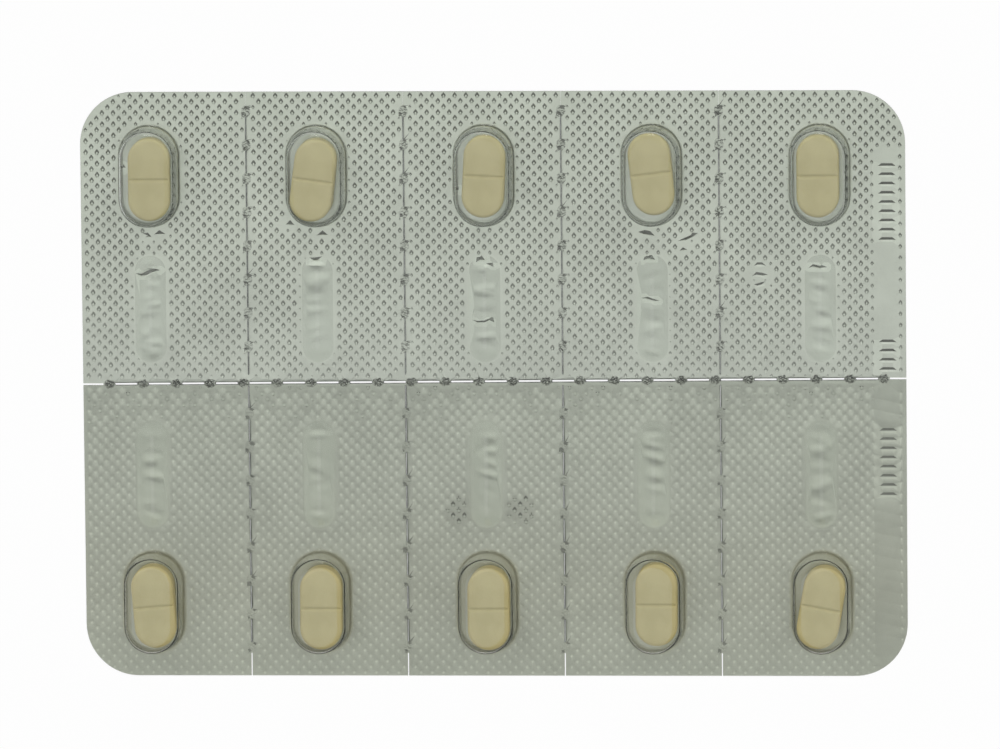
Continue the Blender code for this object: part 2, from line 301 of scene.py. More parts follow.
class PieceMesh:
    """Collects the points and triangles of one piece, in millimetres, and makes its object."""

    def __init__(self, name: str) -> None:
        """Starts an empty piece.

        Args:
            name: The piece's name.
        """
        self.name = name
        self.points: list[np.ndarray] = []
        self.triangles: list[np.ndarray] = []
        self.smooth: list[np.ndarray] = []
        self.finish: list[np.ndarray] = []
        self.count = 0

    def add_points(self, points: np.ndarray) -> np.ndarray:
        """Adds points in space.

        Args:
            points: The points.

        Returns:
            Their numbers.
        """
        numbers = np.arange(self.count, self.count + len(points))
        self.points.append(points)
        self.count += len(points)
        return numbers

    def add_triangles(
        self, triangles: np.ndarray, smooth: bool | np.ndarray = True, finish: int | np.ndarray = 0
    ) -> None:
        """Adds triangles between points that are there.

        Args:
            triangles: Three numbers a row, anticlockwise from outside.
            smooth: Whether they are shaded as one round face.
            finish: The number of their finish.
        """
        self.triangles.append(triangles)
        self.smooth.append(np.broadcast_to(smooth, len(triangles)))
        self.finish.append(np.broadcast_to(finish, len(triangles)))

    def add_face(self, sheet: PlanSheet, up: bool, style: Callable | None = None) -> np.ndarray:
        """Adds a filled face of a sheet.

        Args:
            sheet: The face.
            up: Whether it looks up.
            style: Given each triangle's corners and what they belong to, says whether it is shaded as a
                part of a round face, and gives its finish. Without one the whole face is round.

        Returns:
            The numbers of its points.
        """
        points, triangles = sheet.triangulate()
        numbers = self.add_points(points)
        smooth, finish = True, 0
        if style:
            lies = np.concatenate(sheet.lies)[triangles]
            smooth, finish = style(points[triangles], lies)
        self.add_triangles(numbers[triangles if up else triangles[:, ::-1]], smooth, finish)
        return numbers

    def add_skin(self, lower: np.ndarray, upper: np.ndarray, finish: int = 0, smooth: bool = True) -> None:
        """Joins two anticlockwise rings; the skin looks outwards if the second lies above or inside.

        Args:
            lower: Numbers of the first ring.
            upper: Numbers of the second ring.
            finish: The number of the skin's finish.
            smooth: Whether it is shaded as one round face.
        """
        next_lower, next_upper = np.roll(lower, -1), np.roll(upper, -1)
        self.add_triangles(np.column_stack((lower, next_lower, next_upper)), smooth, finish)
        self.add_triangles(np.column_stack((lower, next_upper, upper)), smooth, finish)

    def add_ring(self, outline: np.ndarray, level: float) -> np.ndarray:
        """Adds one ring of points at one height and returns their numbers."""
        return self.add_points(np.column_stack((outline, np.full(len(outline), level))))

    def add_cap(self, ring: np.ndarray, up: bool) -> None:
        """Closes a convex ring with a fan round its middle.

        Args:
            ring: The ring's numbers.
            up: Whether the cap looks up.
        """
        middle = np.vstack(self.points)[ring].mean(axis=0)[None]
        hub = self.add_points(middle)
        fan = np.column_stack((ring, np.roll(ring, -1), np.repeat(hub, len(ring))))
        self.add_triangles(fan if up else fan[:, ::-1])

    def build(self, finishes: list, sharp_degrees: float) -> bpy.types.Object:
        """Makes the piece's object, with the points that no triangle uses left out.

        Args:
            finishes: Its materials, in the order of their numbers.
            sharp_degrees: Edges that turn by more than this stay sharp.

        Returns:
            The object.
        """
        triangles = np.vstack(self.triangles)
        used, inverse = np.unique(triangles, return_inverse=True)
        points = np.vstack(self.points)[used] * MM
        triangles = inverse.reshape(triangles.shape)
        mesh = bpy.data.meshes.new(self.name)
        mesh.from_pydata(points.tolist(), [], triangles.tolist())
        for finish in finishes:
            mesh.materials.append(finish)
        mesh.polygons.foreach_set("material_index", np.concatenate(self.finish).astype(np.int32))
        mesh.update()
        mesh.set_sharp_from_angle(angle=math.radians(sharp_degrees))
        mesh.polygons.foreach_set("use_smooth", np.concatenate(self.smooth).astype(bool))
        mesh.update()
        if mesh.validate():
            log.warning("%s had faces that Blender removed", self.name)
        piece = bpy.data.objects.new(self.name, mesh)
        bpy.context.scene.collection.objects.link(piece)
        return piece


def dress(piece: bpy.types.Object, slot: Slot, *nodes: str) -> bpy.types.Object:
    """Lets a piece ride on the pack, in place of the model's own nodes.

    Args:
        piece: The piece.
        slot: The material slot meant for its finish; not used.
        nodes: The nodes it stands for.

    Returns:
        The piece.
    """
    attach(piece, BODY)
    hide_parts(*nodes)
    log.info("%s: %d triangles, for %s", piece.name, len(piece.data.polygons), ", ".join(nodes))
    return piece


@dataclass(frozen=True)
class CutLine:
    """One straight perforation line: cuts with short bridges, in millimetres along the line."""

    origin: tuple[float, float]
    degrees: float
    low: float
    high: float
    bridge_place: float
    half_width: float
    half_width_before: float
    pitch: float = 3.83
    bridge_length: float = 1.3

    def to_plan(self, places: np.ndarray) -> np.ndarray:
        """Turns places along and across the line into points of the pack."""
        turn = math.radians(self.degrees)
        along = np.array((math.cos(turn), math.sin(turn)))
        across = np.array((-along[1], along[0]))
        return np.asarray(self.origin) + places[:, :1] * along + places[:, 1:] * across

    def from_plan(self, points: np.ndarray) -> np.ndarray:
        """Turns points of the pack into places along and across the line."""
        turn = math.radians(self.degrees)
        axes = np.array(((math.cos(turn), -math.sin(turn)), (math.sin(turn), math.cos(turn))))
        return (points - np.asarray(self.origin)) @ axes

    def bridges(self) -> list[float]:
        """Middle of each bridge."""
        first = math.ceil((self.low + self.bridge_length - self.bridge_place) / self.pitch)
        last = math.floor((self.high - self.bridge_length - self.bridge_place) / self.pitch)
        return [self.bridge_place + step * self.pitch for step in range(first, last + 1)]

    def is_across(self) -> bool:
        """Whether the line runs across the pack, from side to side."""
        return self.degrees < 45

    def from_bridge(self, places: np.ndarray) -> np.ndarray:
        """How far along the line each place lies from the nearest bridge's middle."""
        return (places - self.bridge_place + self.pitch / 2) % self.pitch - self.pitch / 2

    def cuts(self) -> list[tuple[float, float]]:
        """Start and end of each cut between two bridges."""
        half = self.bridge_length / 2
        middles = self.bridges()
        return [(one + half, two - half) for one, two in zip(middles, middles[1:])]

    def end_cut(self, way: int) -> float:
        """Length of the cut from the first or last bridge, by the way given, to the pack's side."""
        return self.high - way * self.bridges()[-1 if way > 0 else 0] - self.bridge_length / 2

    def half_width_at(self, place: float) -> float:
        """Half the width of the cuts at a place; those below the line's origin may gape wider."""
        return self.half_width if place > 0 else self.half_width_before

    def cut_loop(self, cut: tuple[float, float], growth: float, steps: int) -> np.ndarray:
        """Outline of one cut with round ends, anticlockwise.

        Args:
            cut: Its start and end.
            growth: How much larger than the cut the outline is, on every side.
            steps: Straight steps round each end.

        Returns:
            The outline's points.
        """
        start, end = cut
        half = self.half_width_at((start + end) / 2)
        radius = half + growth
        outline = stadium(end - start + 2 * growth, 2 * radius, steps)
        places = np.column_stack((outline[:, 1], -outline[:, 0])) + ((start + end) / 2, 0)
        return self.to_plan(places)


@dataclass(frozen=True)
class Layout:
    """Where the outline, the forms and the perforations lie, in millimetres."""

    length: float
    width: float
    corner_radius: float = 6.0
    corner_steps: int = 20
    column_count: int = 5
    first_column: float = -39.01
    column_pitch: float = 19.03
    pocket_y: tuple[float, float] = (23.78, -24.98)
    bead_y: tuple[float, float] = (8.61, -10.31)
    first_down_line: float = -27.92
    down_line_pitch: float = 17.88
    down_bridge_place: float = 0.5
    down_half_width: float = 0.012
    down_half_width_below: float = 0.02
    down_notch_half_width: float = 0.06
    across_y: float = 0.33
    across_degrees: float = 0.36
    across_bridge_place: float = -1.7
    across_half_width: float = 0.1
    notch_steps: int = 6
    strip: tuple[float, float] = (43.32, 45.8)
    strip_top: float = 26.8

    def columns(self) -> list[float]:
        """X of each column."""
        return [self.first_column + self.column_pitch * column for column in range(self.column_count)]

    def places(self, rows: tuple[float, float]) -> list[tuple[float, float]]:
        """Centre of each form in both rows, the upper row first."""
        return [(x, y) for y in rows for x in self.columns()]

    def down_lines(self) -> list[CutLine]:
        """The perforation lines down the pack, from its left."""
        reach = self.width / 2
        ends = (-reach, reach, self.down_bridge_place, self.down_half_width, self.down_half_width_below)
        places = [self.first_down_line + step * self.down_line_pitch for step in range(self.column_count - 1)]
        return [CutLine((x, 0), 90, *ends) for x in places]

    def across_line(self) -> CutLine:
        """The perforation line across the pack."""
        reach, half = self.length / 2, self.across_half_width
        ends = (-reach, reach, self.across_bridge_place, half, half)
        return CutLine((0, self.across_y), self.across_degrees, *ends)

    def cut_lines(self) -> list[CutLine]:
        """All perforation lines."""
        return [*self.down_lines(), self.across_line()]

    def edge_room(self, points: np.ndarray) -> np.ndarray:
        """How far inside the sheet's outline each point lies, up to the corners' radius."""
        inner = np.array((self.length, self.width)) / 2 - self.corner_radius
        return self.corner_radius - np.hypot(*np.maximum(np.abs(points) - inner, 0).T)

    def notch(self, edge: np.ndarray, along: np.ndarray, half: float, length: float) -> np.ndarray:
        """Outline points of a cut that runs out of the sheet's edge.

        Args:
            edge: Where the cut meets the edge.
            along: The way the outline runs there, anticlockwise.
            half: Half the cut's width.
            length: The cut's length.

        Returns:
            The points in the outline's order.
        """
        inward = np.array((-along[1], along[0]))
        steps = arc((0, length - half), half, math.pi, 0, self.notch_steps)
        local = np.vstack(((-half, 0), steps, (half, 0)))
        return edge + local[:, :1] * along + local[:, 1:] * inward

    def side_notches(self, side: Side, inset: float, growth: float) -> list[np.ndarray]:
        """The notches where perforation lines run out of one side.

        Args:
            side: The side.
            inset: How far inside the pack's outline the side runs.
            growth: How much larger the notches are than their cuts.

        Returns:
            The notches in the outline's order.
        """
        way = sum(side.value)
        if side in (Side.RIGHT, Side.LEFT):
            line = self.across_line()
            x = way * (self.length / 2 - inset)
            edge = np.array((x, line.origin[1] + x * math.tan(math.radians(line.degrees))))
            length = line.end_cut(way) - inset + growth
            return [self.notch(edge, np.array((0, way)), line.half_width + growth, length)]
        found = []
        for line in self.down_lines()[::-way]:
            edge = np.array((line.origin[0], way * (self.width / 2 - inset)))
            half = (line.half_width if way > 0 else self.down_notch_half_width) + growth
            length = line.end_cut(way) - inset + growth
            found.append(self.notch(edge, np.array((-way, 0)), half, length))
        return found

    def notches(self, inset: float, growth: float) -> list[np.ndarray]:
        """All notches as closed loops, anticlockwise."""
        return [notch[::-1] for side in Side for notch in self.side_notches(side, inset, growth)]

    def outline(self, inset: float, growth: float) -> np.ndarray:
        """The sheet's outline, with a notch where each perforation line runs out, anticlockwise.

        Args:
            inset: How far inside the pack's outline it runs.
            growth: How much larger the notches are than their cuts.

        Returns:
            The outline's points.
        """
        middle = np.array((self.length, self.width)) / 2 - self.corner_radius
        corners = ((1, 1), (-1, 1), (-1, -1), (1, -1))
        parts = []
        for quarter, (side, corner) in enumerate(zip(Side, corners)):
            parts += self.side_notches(side, inset, growth)
            start = quarter * math.pi / 2
            radius = self.corner_radius - inset
            parts.append(arc(corner * middle, radius, start, start + math.pi / 2, self.corner_steps))
        return np.vstack(parts)


@dataclass(frozen=True)
class Levels:
    """Heights of the faces, in millimetres, from the surface that the pack lies on."""

    knurl_points: float = 0.0
    foil_back: float = 0.028
    film_back: float = 0.0315
    dimple: float = 0.037
    pocket_floor: float = 0.06
    foil_land: float = 0.095
    crumple_top: float = 0.25
    flange_top: float = 0.31
    bead_top: float = 0.96


@dataclass(frozen=True)
class Form:
    """A stadium-shaped form drawn up from the film, its long side along Y, in millimetres."""

    length: float
    width: float
    top: float
    foot_radius: float
    crown_radius: float
    draft_degrees: float
    end_steps: int
    foot_steps: int = 6
    crown_steps: int = 9
    foot_wall: float = 0.25
    crown_wall: float = 0.15

    def profile(self, levels: Levels, inner: bool) -> list[tuple[float, float]]:
        """Inset and height of each ring up the form.

        Args:
            levels: The heights of the sheets.
            inner: Whether this is the inner skin.

        Returns:
            One pair for each ring.
        """
        draft = math.radians(self.draft_degrees)
        height = self.top - levels.flange_top
        arcs = self.foot_radius + self.crown_radius
        straight = height - arcs * (1 - math.sin(draft))
        crown_inset = arcs * math.cos(draft) + straight * math.tan(draft)
        foot_radius = self.foot_radius + (self.foot_wall if inner else 0)
        crown_radius = self.crown_radius - (self.crown_wall if inner else 0)
        foot_centre = (0, levels.flange_top + self.foot_radius)
        crown_centre = (crown_inset, self.top - self.crown_radius)
        foot = arc(foot_centre, foot_radius, -math.pi / 2, -draft, self.foot_steps)
        crown = arc(crown_centre, crown_radius, math.pi - draft, math.pi / 2, self.crown_steps)
        return [tuple(pair) for pair in np.vstack((foot, crown))]

    def outline(self, inset: float, centre: tuple[float, float]) -> np.ndarray:
        """The form's outline at one inset, anticlockwise."""
        return stadium(self.length - 2 * inset, self.width - 2 * inset, self.end_steps) + centre

    def distance(self, points: np.ndarray, centre: tuple[float, float]) -> np.ndarray:
        """How far outside the form's foot each point lies, negative inside it."""
        return stadium_distance(points, centre, self.length, self.width)


@dataclass(frozen=True)
class Crumple:
    """The small crumpled pillow that each bridge of a perforation leaves, in millimetres."""

    half_length: float = 0.74
    half_width: float = 0.6
    fade: float = 0.4
    rise: float = 0.02
    ripple: float = 0.022
    dents: tuple = ((-0.46, 0.28), (0.48, -0.3))
    dent_depth: float = 0.05
    dent_radius: float = 0.28
    dent_wander: float = 0.08
    dent_spread: tuple[float, float] = (0.6, 1.1)
    star_reach: float = 0.62
    star_spread: float = 0.3
    few_lobes: tuple[int, int] = (3, 6)
    many_lobes: tuple[int, int] = (6, 9)
    many_lobe_share: float = 0.6
    down_shares: tuple[float, float] = (0.5, 0.9)
    share_below: float = 0.5
    crossing_room: float = 1.0
    spacing: float = 0.13
    row_share: float = 0.87
    grid_reach: float = 0.97
    seed: int = 5

    def reach(self, local: np.ndarray) -> np.ndarray:
        """How far out each point lies, from 0 in the middle to 1 on the pillow's outline."""
        return np.hypot(local[:, 0] / self.half_length, local[:, 1] / self.half_width)

    def room(self, line: CutLine, places: np.ndarray) -> np.ndarray:
        """How far outside the nearest pillow of a line each point lies.

        Args:
            line: The perforation line.
            places: The points, along and across the line.

        Returns:
            One distance for each point.
        """
        local = np.column_stack((line.from_bridge(places[:, 0]), places[:, 1]))
        return (self.reach(local) - 1) * self.half_width

    def grid(self) -> np.ndarray:
        """Points over one pillow, along and across its line."""
        half, row = self.spacing / 2, self.spacing * self.row_share
        along = np.arange(-self.half_length, self.half_length, self.spacing) + half
        across = np.arange(-self.half_width, self.half_width, row) + half
        points = np.array(np.meshgrid(along, across)).reshape(2, -1).T
        points[:, 0] += half * (np.round(points[:, 1] / row) % 2)
        return points[self.reach(points) < self.grid_reach]

    def marks(self, local: np.ndarray, draws: np.random.Generator, star: bool) -> np.ndarray:
        """Tells which points of one pillow lie in its crushed part, which gets dark painted shade where it
        faces away from the light.

        Args:
            local: Points along and across the line.
            draws: Where its chance values come from.
            star: Whether that part is one star, as on the line across the pack, and not two dents.

        Returns:
            One answer for each point.
        """
        if star:
            turn, more = np.arctan2(local[:, 1], local[:, 0]), self.many_lobe_share
            lobes = np.sin(draws.integers(*self.few_lobes) * turn + draws.uniform(0, 2 * math.pi))
            lobes += more * np.sin(draws.integers(*self.many_lobes) * turn + draws.uniform(0, 2 * math.pi))
            return self.reach(local) < self.star_reach + self.star_spread * lobes / (1 + more)
        wander = self.dent_wander
        places = [np.add(dent, draws.uniform(-wander, wander, 2)) for dent in self.dents]
        radius = self.dent_radius * draws.uniform(*self.dent_spread)
        return np.any([np.hypot(*(local - place).T) < radius for place in places], axis=0)

    def height(self, local: np.ndarray, dark: np.ndarray, draws: np.random.Generator) -> np.ndarray:
        """Height of one pillow over the sheet round it.

        Args:
            local: Points along and across the line.
            dark: Which of them lie in its crushed part.
            draws: Where its chance values come from.

        Returns:
            One height for each point.
        """
        height = self.rise + draws.normal(0, self.ripple, len(local)) - self.dent_depth * dark
        return height * smooth_step((1 - self.reach(local)) / self.fade)


@dataclass(frozen=True)
class Crease:
    """A sharp fold in the foil: a groove along a short line from left to right, in millimetres."""

    line: tuple
    north: float = 0.16
    south: float = 0.06
    ground: float = 0.095
    bottom: float = 0.034
    lie: Lie = Lie.CREASE

    def sides(self) -> tuple[np.ndarray, np.ndarray, np.ndarray]:
        """The groove's bottom and its two lips, which meet at its ends."""
        line = np.array(self.line)
        ways = np.gradient(line, axis=0)
        ways /= np.hypot(*ways.T)[:, None]
        across = np.column_stack((-ways[:, 1], ways[:, 0]))
        shares = np.sin(np.linspace(0, math.pi, len(line)))[1:-1, None]
        inner = line[1:-1]
        return line, inner + shares * across[1:-1] * self.north, inner - shares * across[1:-1] * self.south

    def draw(self, sheet: PlanSheet) -> None:
        """Adds the groove to a face."""
        line, north, south = self.sides()
        levels = np.full(len(line), self.bottom)
        levels[[0, -1]] = self.ground
        sheet.add_line(line, levels, self.lie)
        sheet.add_line(north, self.ground)
        sheet.add_line(south, self.ground)


CREASES = (
    Crease(
        ((-40.66, 12.7), (-40.0, 12.42), (-39.4, 12.5), (-38.87, 12.78), (-38.35, 12.98), (-37.89, 13.06)),
        0.42,
        0.12,
    ),
    Crease(((-20.8, 14.0), (-20.4, 14.15), (-19.9, 14.2), (-19.4, 14.0)), 0.38, 0.12),
    Crease(((-1.9, 13.9), (-1.4, 14.2), (-0.9, 14.15)), 0.32, 0.1),
    Crease(((-0.8, 13.75), (-0.4, 13.6), (0.1, 13.35)), 0.24, 0.1),
    Crease(((-2.4, 7.35), (-1.8, 7.05), (-1.0, 7.05), (-0.5, 7.3), (0.1, 7.05)), 0.24, 0.1),
    Crease(((17.1, 14.1), (17.7, 14.3), (18.4, 14.15)), 0.28, 0.1),
    Crease(((16.8, 9.8), (17.5, 9.75), (18.2, 9.5), (18.9, 9.5)), 0.24, 0.1),
    Crease(((35.8, 13.2), (36.3, 13.4), (37.1, 13.2), (37.9, 13.3)), 0.28, 0.1),
    Crease(((21.0, 16.3), (21.8, 16.45), (22.6, 16.8), (23.3, 17.2)), 0.24, 0.1),
    Crease(((21.2, 15.2), (21.6, 15.35), (22.1, 15.3)), 0.24, 0.1),
    Crease(((29.6, 13.45), (30.0, 13.6), (30.5, 13.6), (31.0, 13.45)), 0.3, 0.25, bottom=0.06),
    Crease(((29.4, 12.3), (29.9, 12.45), (30.6, 12.35), (31.2, 12.45)), 0.36, 0.25, bottom=0.06),
    Crease(((29.6, 11.35), (30.0, 11.2), (30.5, 11.35), (31.0, 11.3)), 0.3, 0.25, bottom=0.06),
    Crease(((-23.5, 18.25), (-23.0, 18.35), (-22.5, 18.2)), 0.42, 0.12),
    Crease(((-20.0, 17.0), (-19.3, 17.2), (-18.7, 17.05)), 0.38, 0.12),
    Crease(((16.5, 17.35), (17.2, 17.2), (17.8, 17.1), (18.4, 16.9)), 0.42, 0.12),
    Crease(((-39.6, 16.8), (-39.2, 17.0), (-38.8, 16.85)), 0.36, 0.1),
    Crease(((-38.5, 17.15), (-37.9, 17.3), (-37.2, 17.2)), 0.34, 0.1),
    Crease(((-4.35, 22.05), (-3.9, 22.2), (-3.5, 22.1)), 0.38, 0.12, ground=0.06),
    Crease(((-42.3, 24.6), (-41.95, 24.8), (-41.6, 24.7)), 0.38, 0.12, ground=0.06),
    Crease(((-23.3, 20.95), (-23.0, 21.15), (-22.7, 21.05)), 0.38, 0.12, ground=0.06),
)


@dataclass(frozen=True)
class SealKnurl:
    """The lattice of small pits that the sealing tool presses into the foil, in millimetres."""

    pitch: tuple[float, float] = (1.274, 1.2785)
    origin: tuple[float, float] = (0.311, 0.31)
    half_width: float = 0.3
    half_height: float = 0.42
    corner_cut_share: float = 0.34
    bottom_half_width: float = 0.12
    bottom_half_height: float = 0.14
    bottom_growth_below: float = 1.5
    bottom_shift: float = -0.07
    depth: float = 0.058
    depth_by_y: tuple = ((-33.0, 0.22), (-18.0, 0.36), (-7.0, 0.55), (0.0, 0.7), (6.0, 0.88), (14.0, 1.0))
    depth_spread: float = 0.15
    deep_patches: tuple = ((-4.2, -14.3), (2.95, -14.3))
    deep_patch_radius: float = 2.2
    margin: float = 0.04
    least_share: float = 0.28
    pocket_zone: tuple[float, float] = (11.7, 7.0)
    bead_zone: tuple[float, float] = (12.3, 3.6)
    seed: int = 11

    def pits(self, layout: Layout, crumple: Crumple) -> tuple[np.ndarray, np.ndarray]:
        """Middle of each pit and the share of its full size that its neighbours leave it.

        Args:
            layout: The pack's layout.
            crumple: The crumple at each bridge, which takes the knurl's place.

        Returns:
            The middles and the shares.
        """
        reach = int(layout.length / min(self.pitch)) + 2
        steps = np.arange(-reach, reach + 1)
        across, up = np.meshgrid(steps, steps)
        even = np.column_stack((across.ravel(), up.ravel())) * self.pitch
        middles = np.vstack((even, even + np.divide(self.pitch, 2))) + self.origin
        middles = middles[layout.edge_room(middles) > 0]
        room = layout.edge_room(middles)
        for rows, zone in ((layout.pocket_y, self.pocket_zone), (layout.bead_y, self.bead_zone)):
            for centre in layout.places(rows):
                room = np.minimum(room, stadium_distance(middles, centre, *zone))
        low, high = layout.strip
        beside = np.abs(middles[:, 0] - (low + high) / 2) - (high - low) / 2
        room = np.minimum(room, np.maximum(beside, middles[:, 1] - layout.strip_top))
        for line in layout.cut_lines():
            places = line.from_plan(middles)
            half = np.where(places[:, 0] > 0, line.half_width, line.half_width_before)
            room = np.minimum(room, np.abs(places[:, 1]) - half - self.margin)
            room = np.minimum(room, crumple.room(line, places))
        for crease in CREASES:
            gap, _ = line_distance(middles, np.array(crease.line))
            room = np.minimum(room, gap - crease.north)
        shares = np.clip((room - self.margin) / self.half_height, 0, 1)
        kept = shares >= self.least_share
        return middles[kept], shares[kept]

    def depths(self, middles: np.ndarray) -> np.ndarray:
        """Depth of each full-size pit, shallower towards the pack's lower end."""
        places, shares = np.array(self.depth_by_y).T
        chance = np.random.default_rng(self.seed)
        draws = chance.uniform(1 - self.depth_spread, 1 + self.depth_spread, len(middles))
        shares = np.interp(middles[:, 1], places, shares)
        for patch in self.deep_patches:
            out = np.hypot(*(middles - patch).T) / self.deep_patch_radius
            shares = np.maximum(shares, np.exp(-(out**4)))
        return self.depth * shares * draws

    def diamond(self, half_width: float, half_height: float) -> np.ndarray:
        """A diamond with its corners cut, anticlockwise."""
        cut = self.corner_cut_share
        corners = np.array(((1, 0), (0, 1), (-1, 0), (0, -1)), float)
        ahead, behind = np.roll(corners, -1, axis=0), np.roll(corners, 1, axis=0)
        cuts = [corners + cut / 2 * (other - corners) for other in (behind, ahead)]
        return np.stack(cuts, axis=1).reshape(-1, 2) * (half_width, half_height)

    def rim(self) -> np.ndarray:
        """Corners of a full-size pit's rim."""
        return self.diamond(self.half_width, self.half_height)

    def bottom(self) -> np.ndarray:
        """Corners of a full-size pit's bottom, which lies a little towards the lower end of the pack."""
        return self.diamond(self.bottom_half_width, self.bottom_half_height) + (0, self.bottom_shift)


@dataclass(frozen=True)
class StripTicks:
    """Short, evenly spaced ticks pressed into the plain strip, in millimetres."""

    across: tuple[float, float] = (43.7, 45.7)
    spans: tuple = ((16.4, 24.9), (1.6, 5.1), (-12.7, -4.7))
    spacing: float = 1.05
    end_run: float = 0.4
    bow: float = 0.01
    north: float = 0.34
    south: float = 0.28

    def creases(self) -> list[Crease]:
        """One groove for each tick."""
        left, right = self.across
        made = []
        for low, high in self.spans:
            for y in np.arange(low, high, self.spacing):
                inner = ((left + self.end_run, y + self.bow), (right - self.end_run, y + self.bow))
                made.append(Crease(((left, y), *inner, (right, y)), self.north, self.south, lie=Lie.TICK))
        return made


@dataclass(frozen=True)
class BeadFolds:
    """The soft folds in the loose foil under a bead, drawn by chance, in millimetres."""

    reach: float = 5.6
    spacing: float = 0.9
    wander: float = 0.4
    slant: float = 0.35
    widths: tuple[float, float] = (0.25, 0.5)
    rises: tuple[float, float] = (-0.1, 0.16)
    side_wander: float = 0.8
    side_reaches: tuple[float, float] = (0.6, 1.8)
    limits: tuple[float, float] = (-0.055, 0.11)
    still_edge: float = 0.3
    edge_fade: float = 0.9
    seed_steps: tuple[int, int] = (100, 7)

    def height(self, points: np.ndarray, centre: tuple[float, float], inside: np.ndarray) -> np.ndarray:
        """Height of the folds over the sheet round them.

        Args:
            points: Points under the bead.
            centre: The bead's centre.
            inside: How far inside the bead's foot each point lies.

        Returns:
            One height for each point.
        """
        along, up = self.seed_steps
        draws = np.random.default_rng(int(abs(centre[0] * along) + abs(centre[1]) * up))
        off = points - centre
        height = np.zeros(len(points))
        for place in np.arange(-self.reach, self.reach, self.spacing):
            middle = place + draws.uniform(-self.wander, self.wander)
            slant = draws.uniform(-self.slant, self.slant)
            width, rise = draws.uniform(*self.widths), draws.uniform(*self.rises)
            side = draws.uniform(-self.side_wander, self.side_wander)
            reach = np.exp(-(((off[:, 0] - side) / draws.uniform(*self.side_reaches)) ** 2))
            height += rise * reach * np.exp(-(((off[:, 1] - middle - slant * off[:, 0]) / width) ** 2))
        return np.clip(height, *self.limits) * smooth_step((inside - self.still_edge) / self.edge_fade)


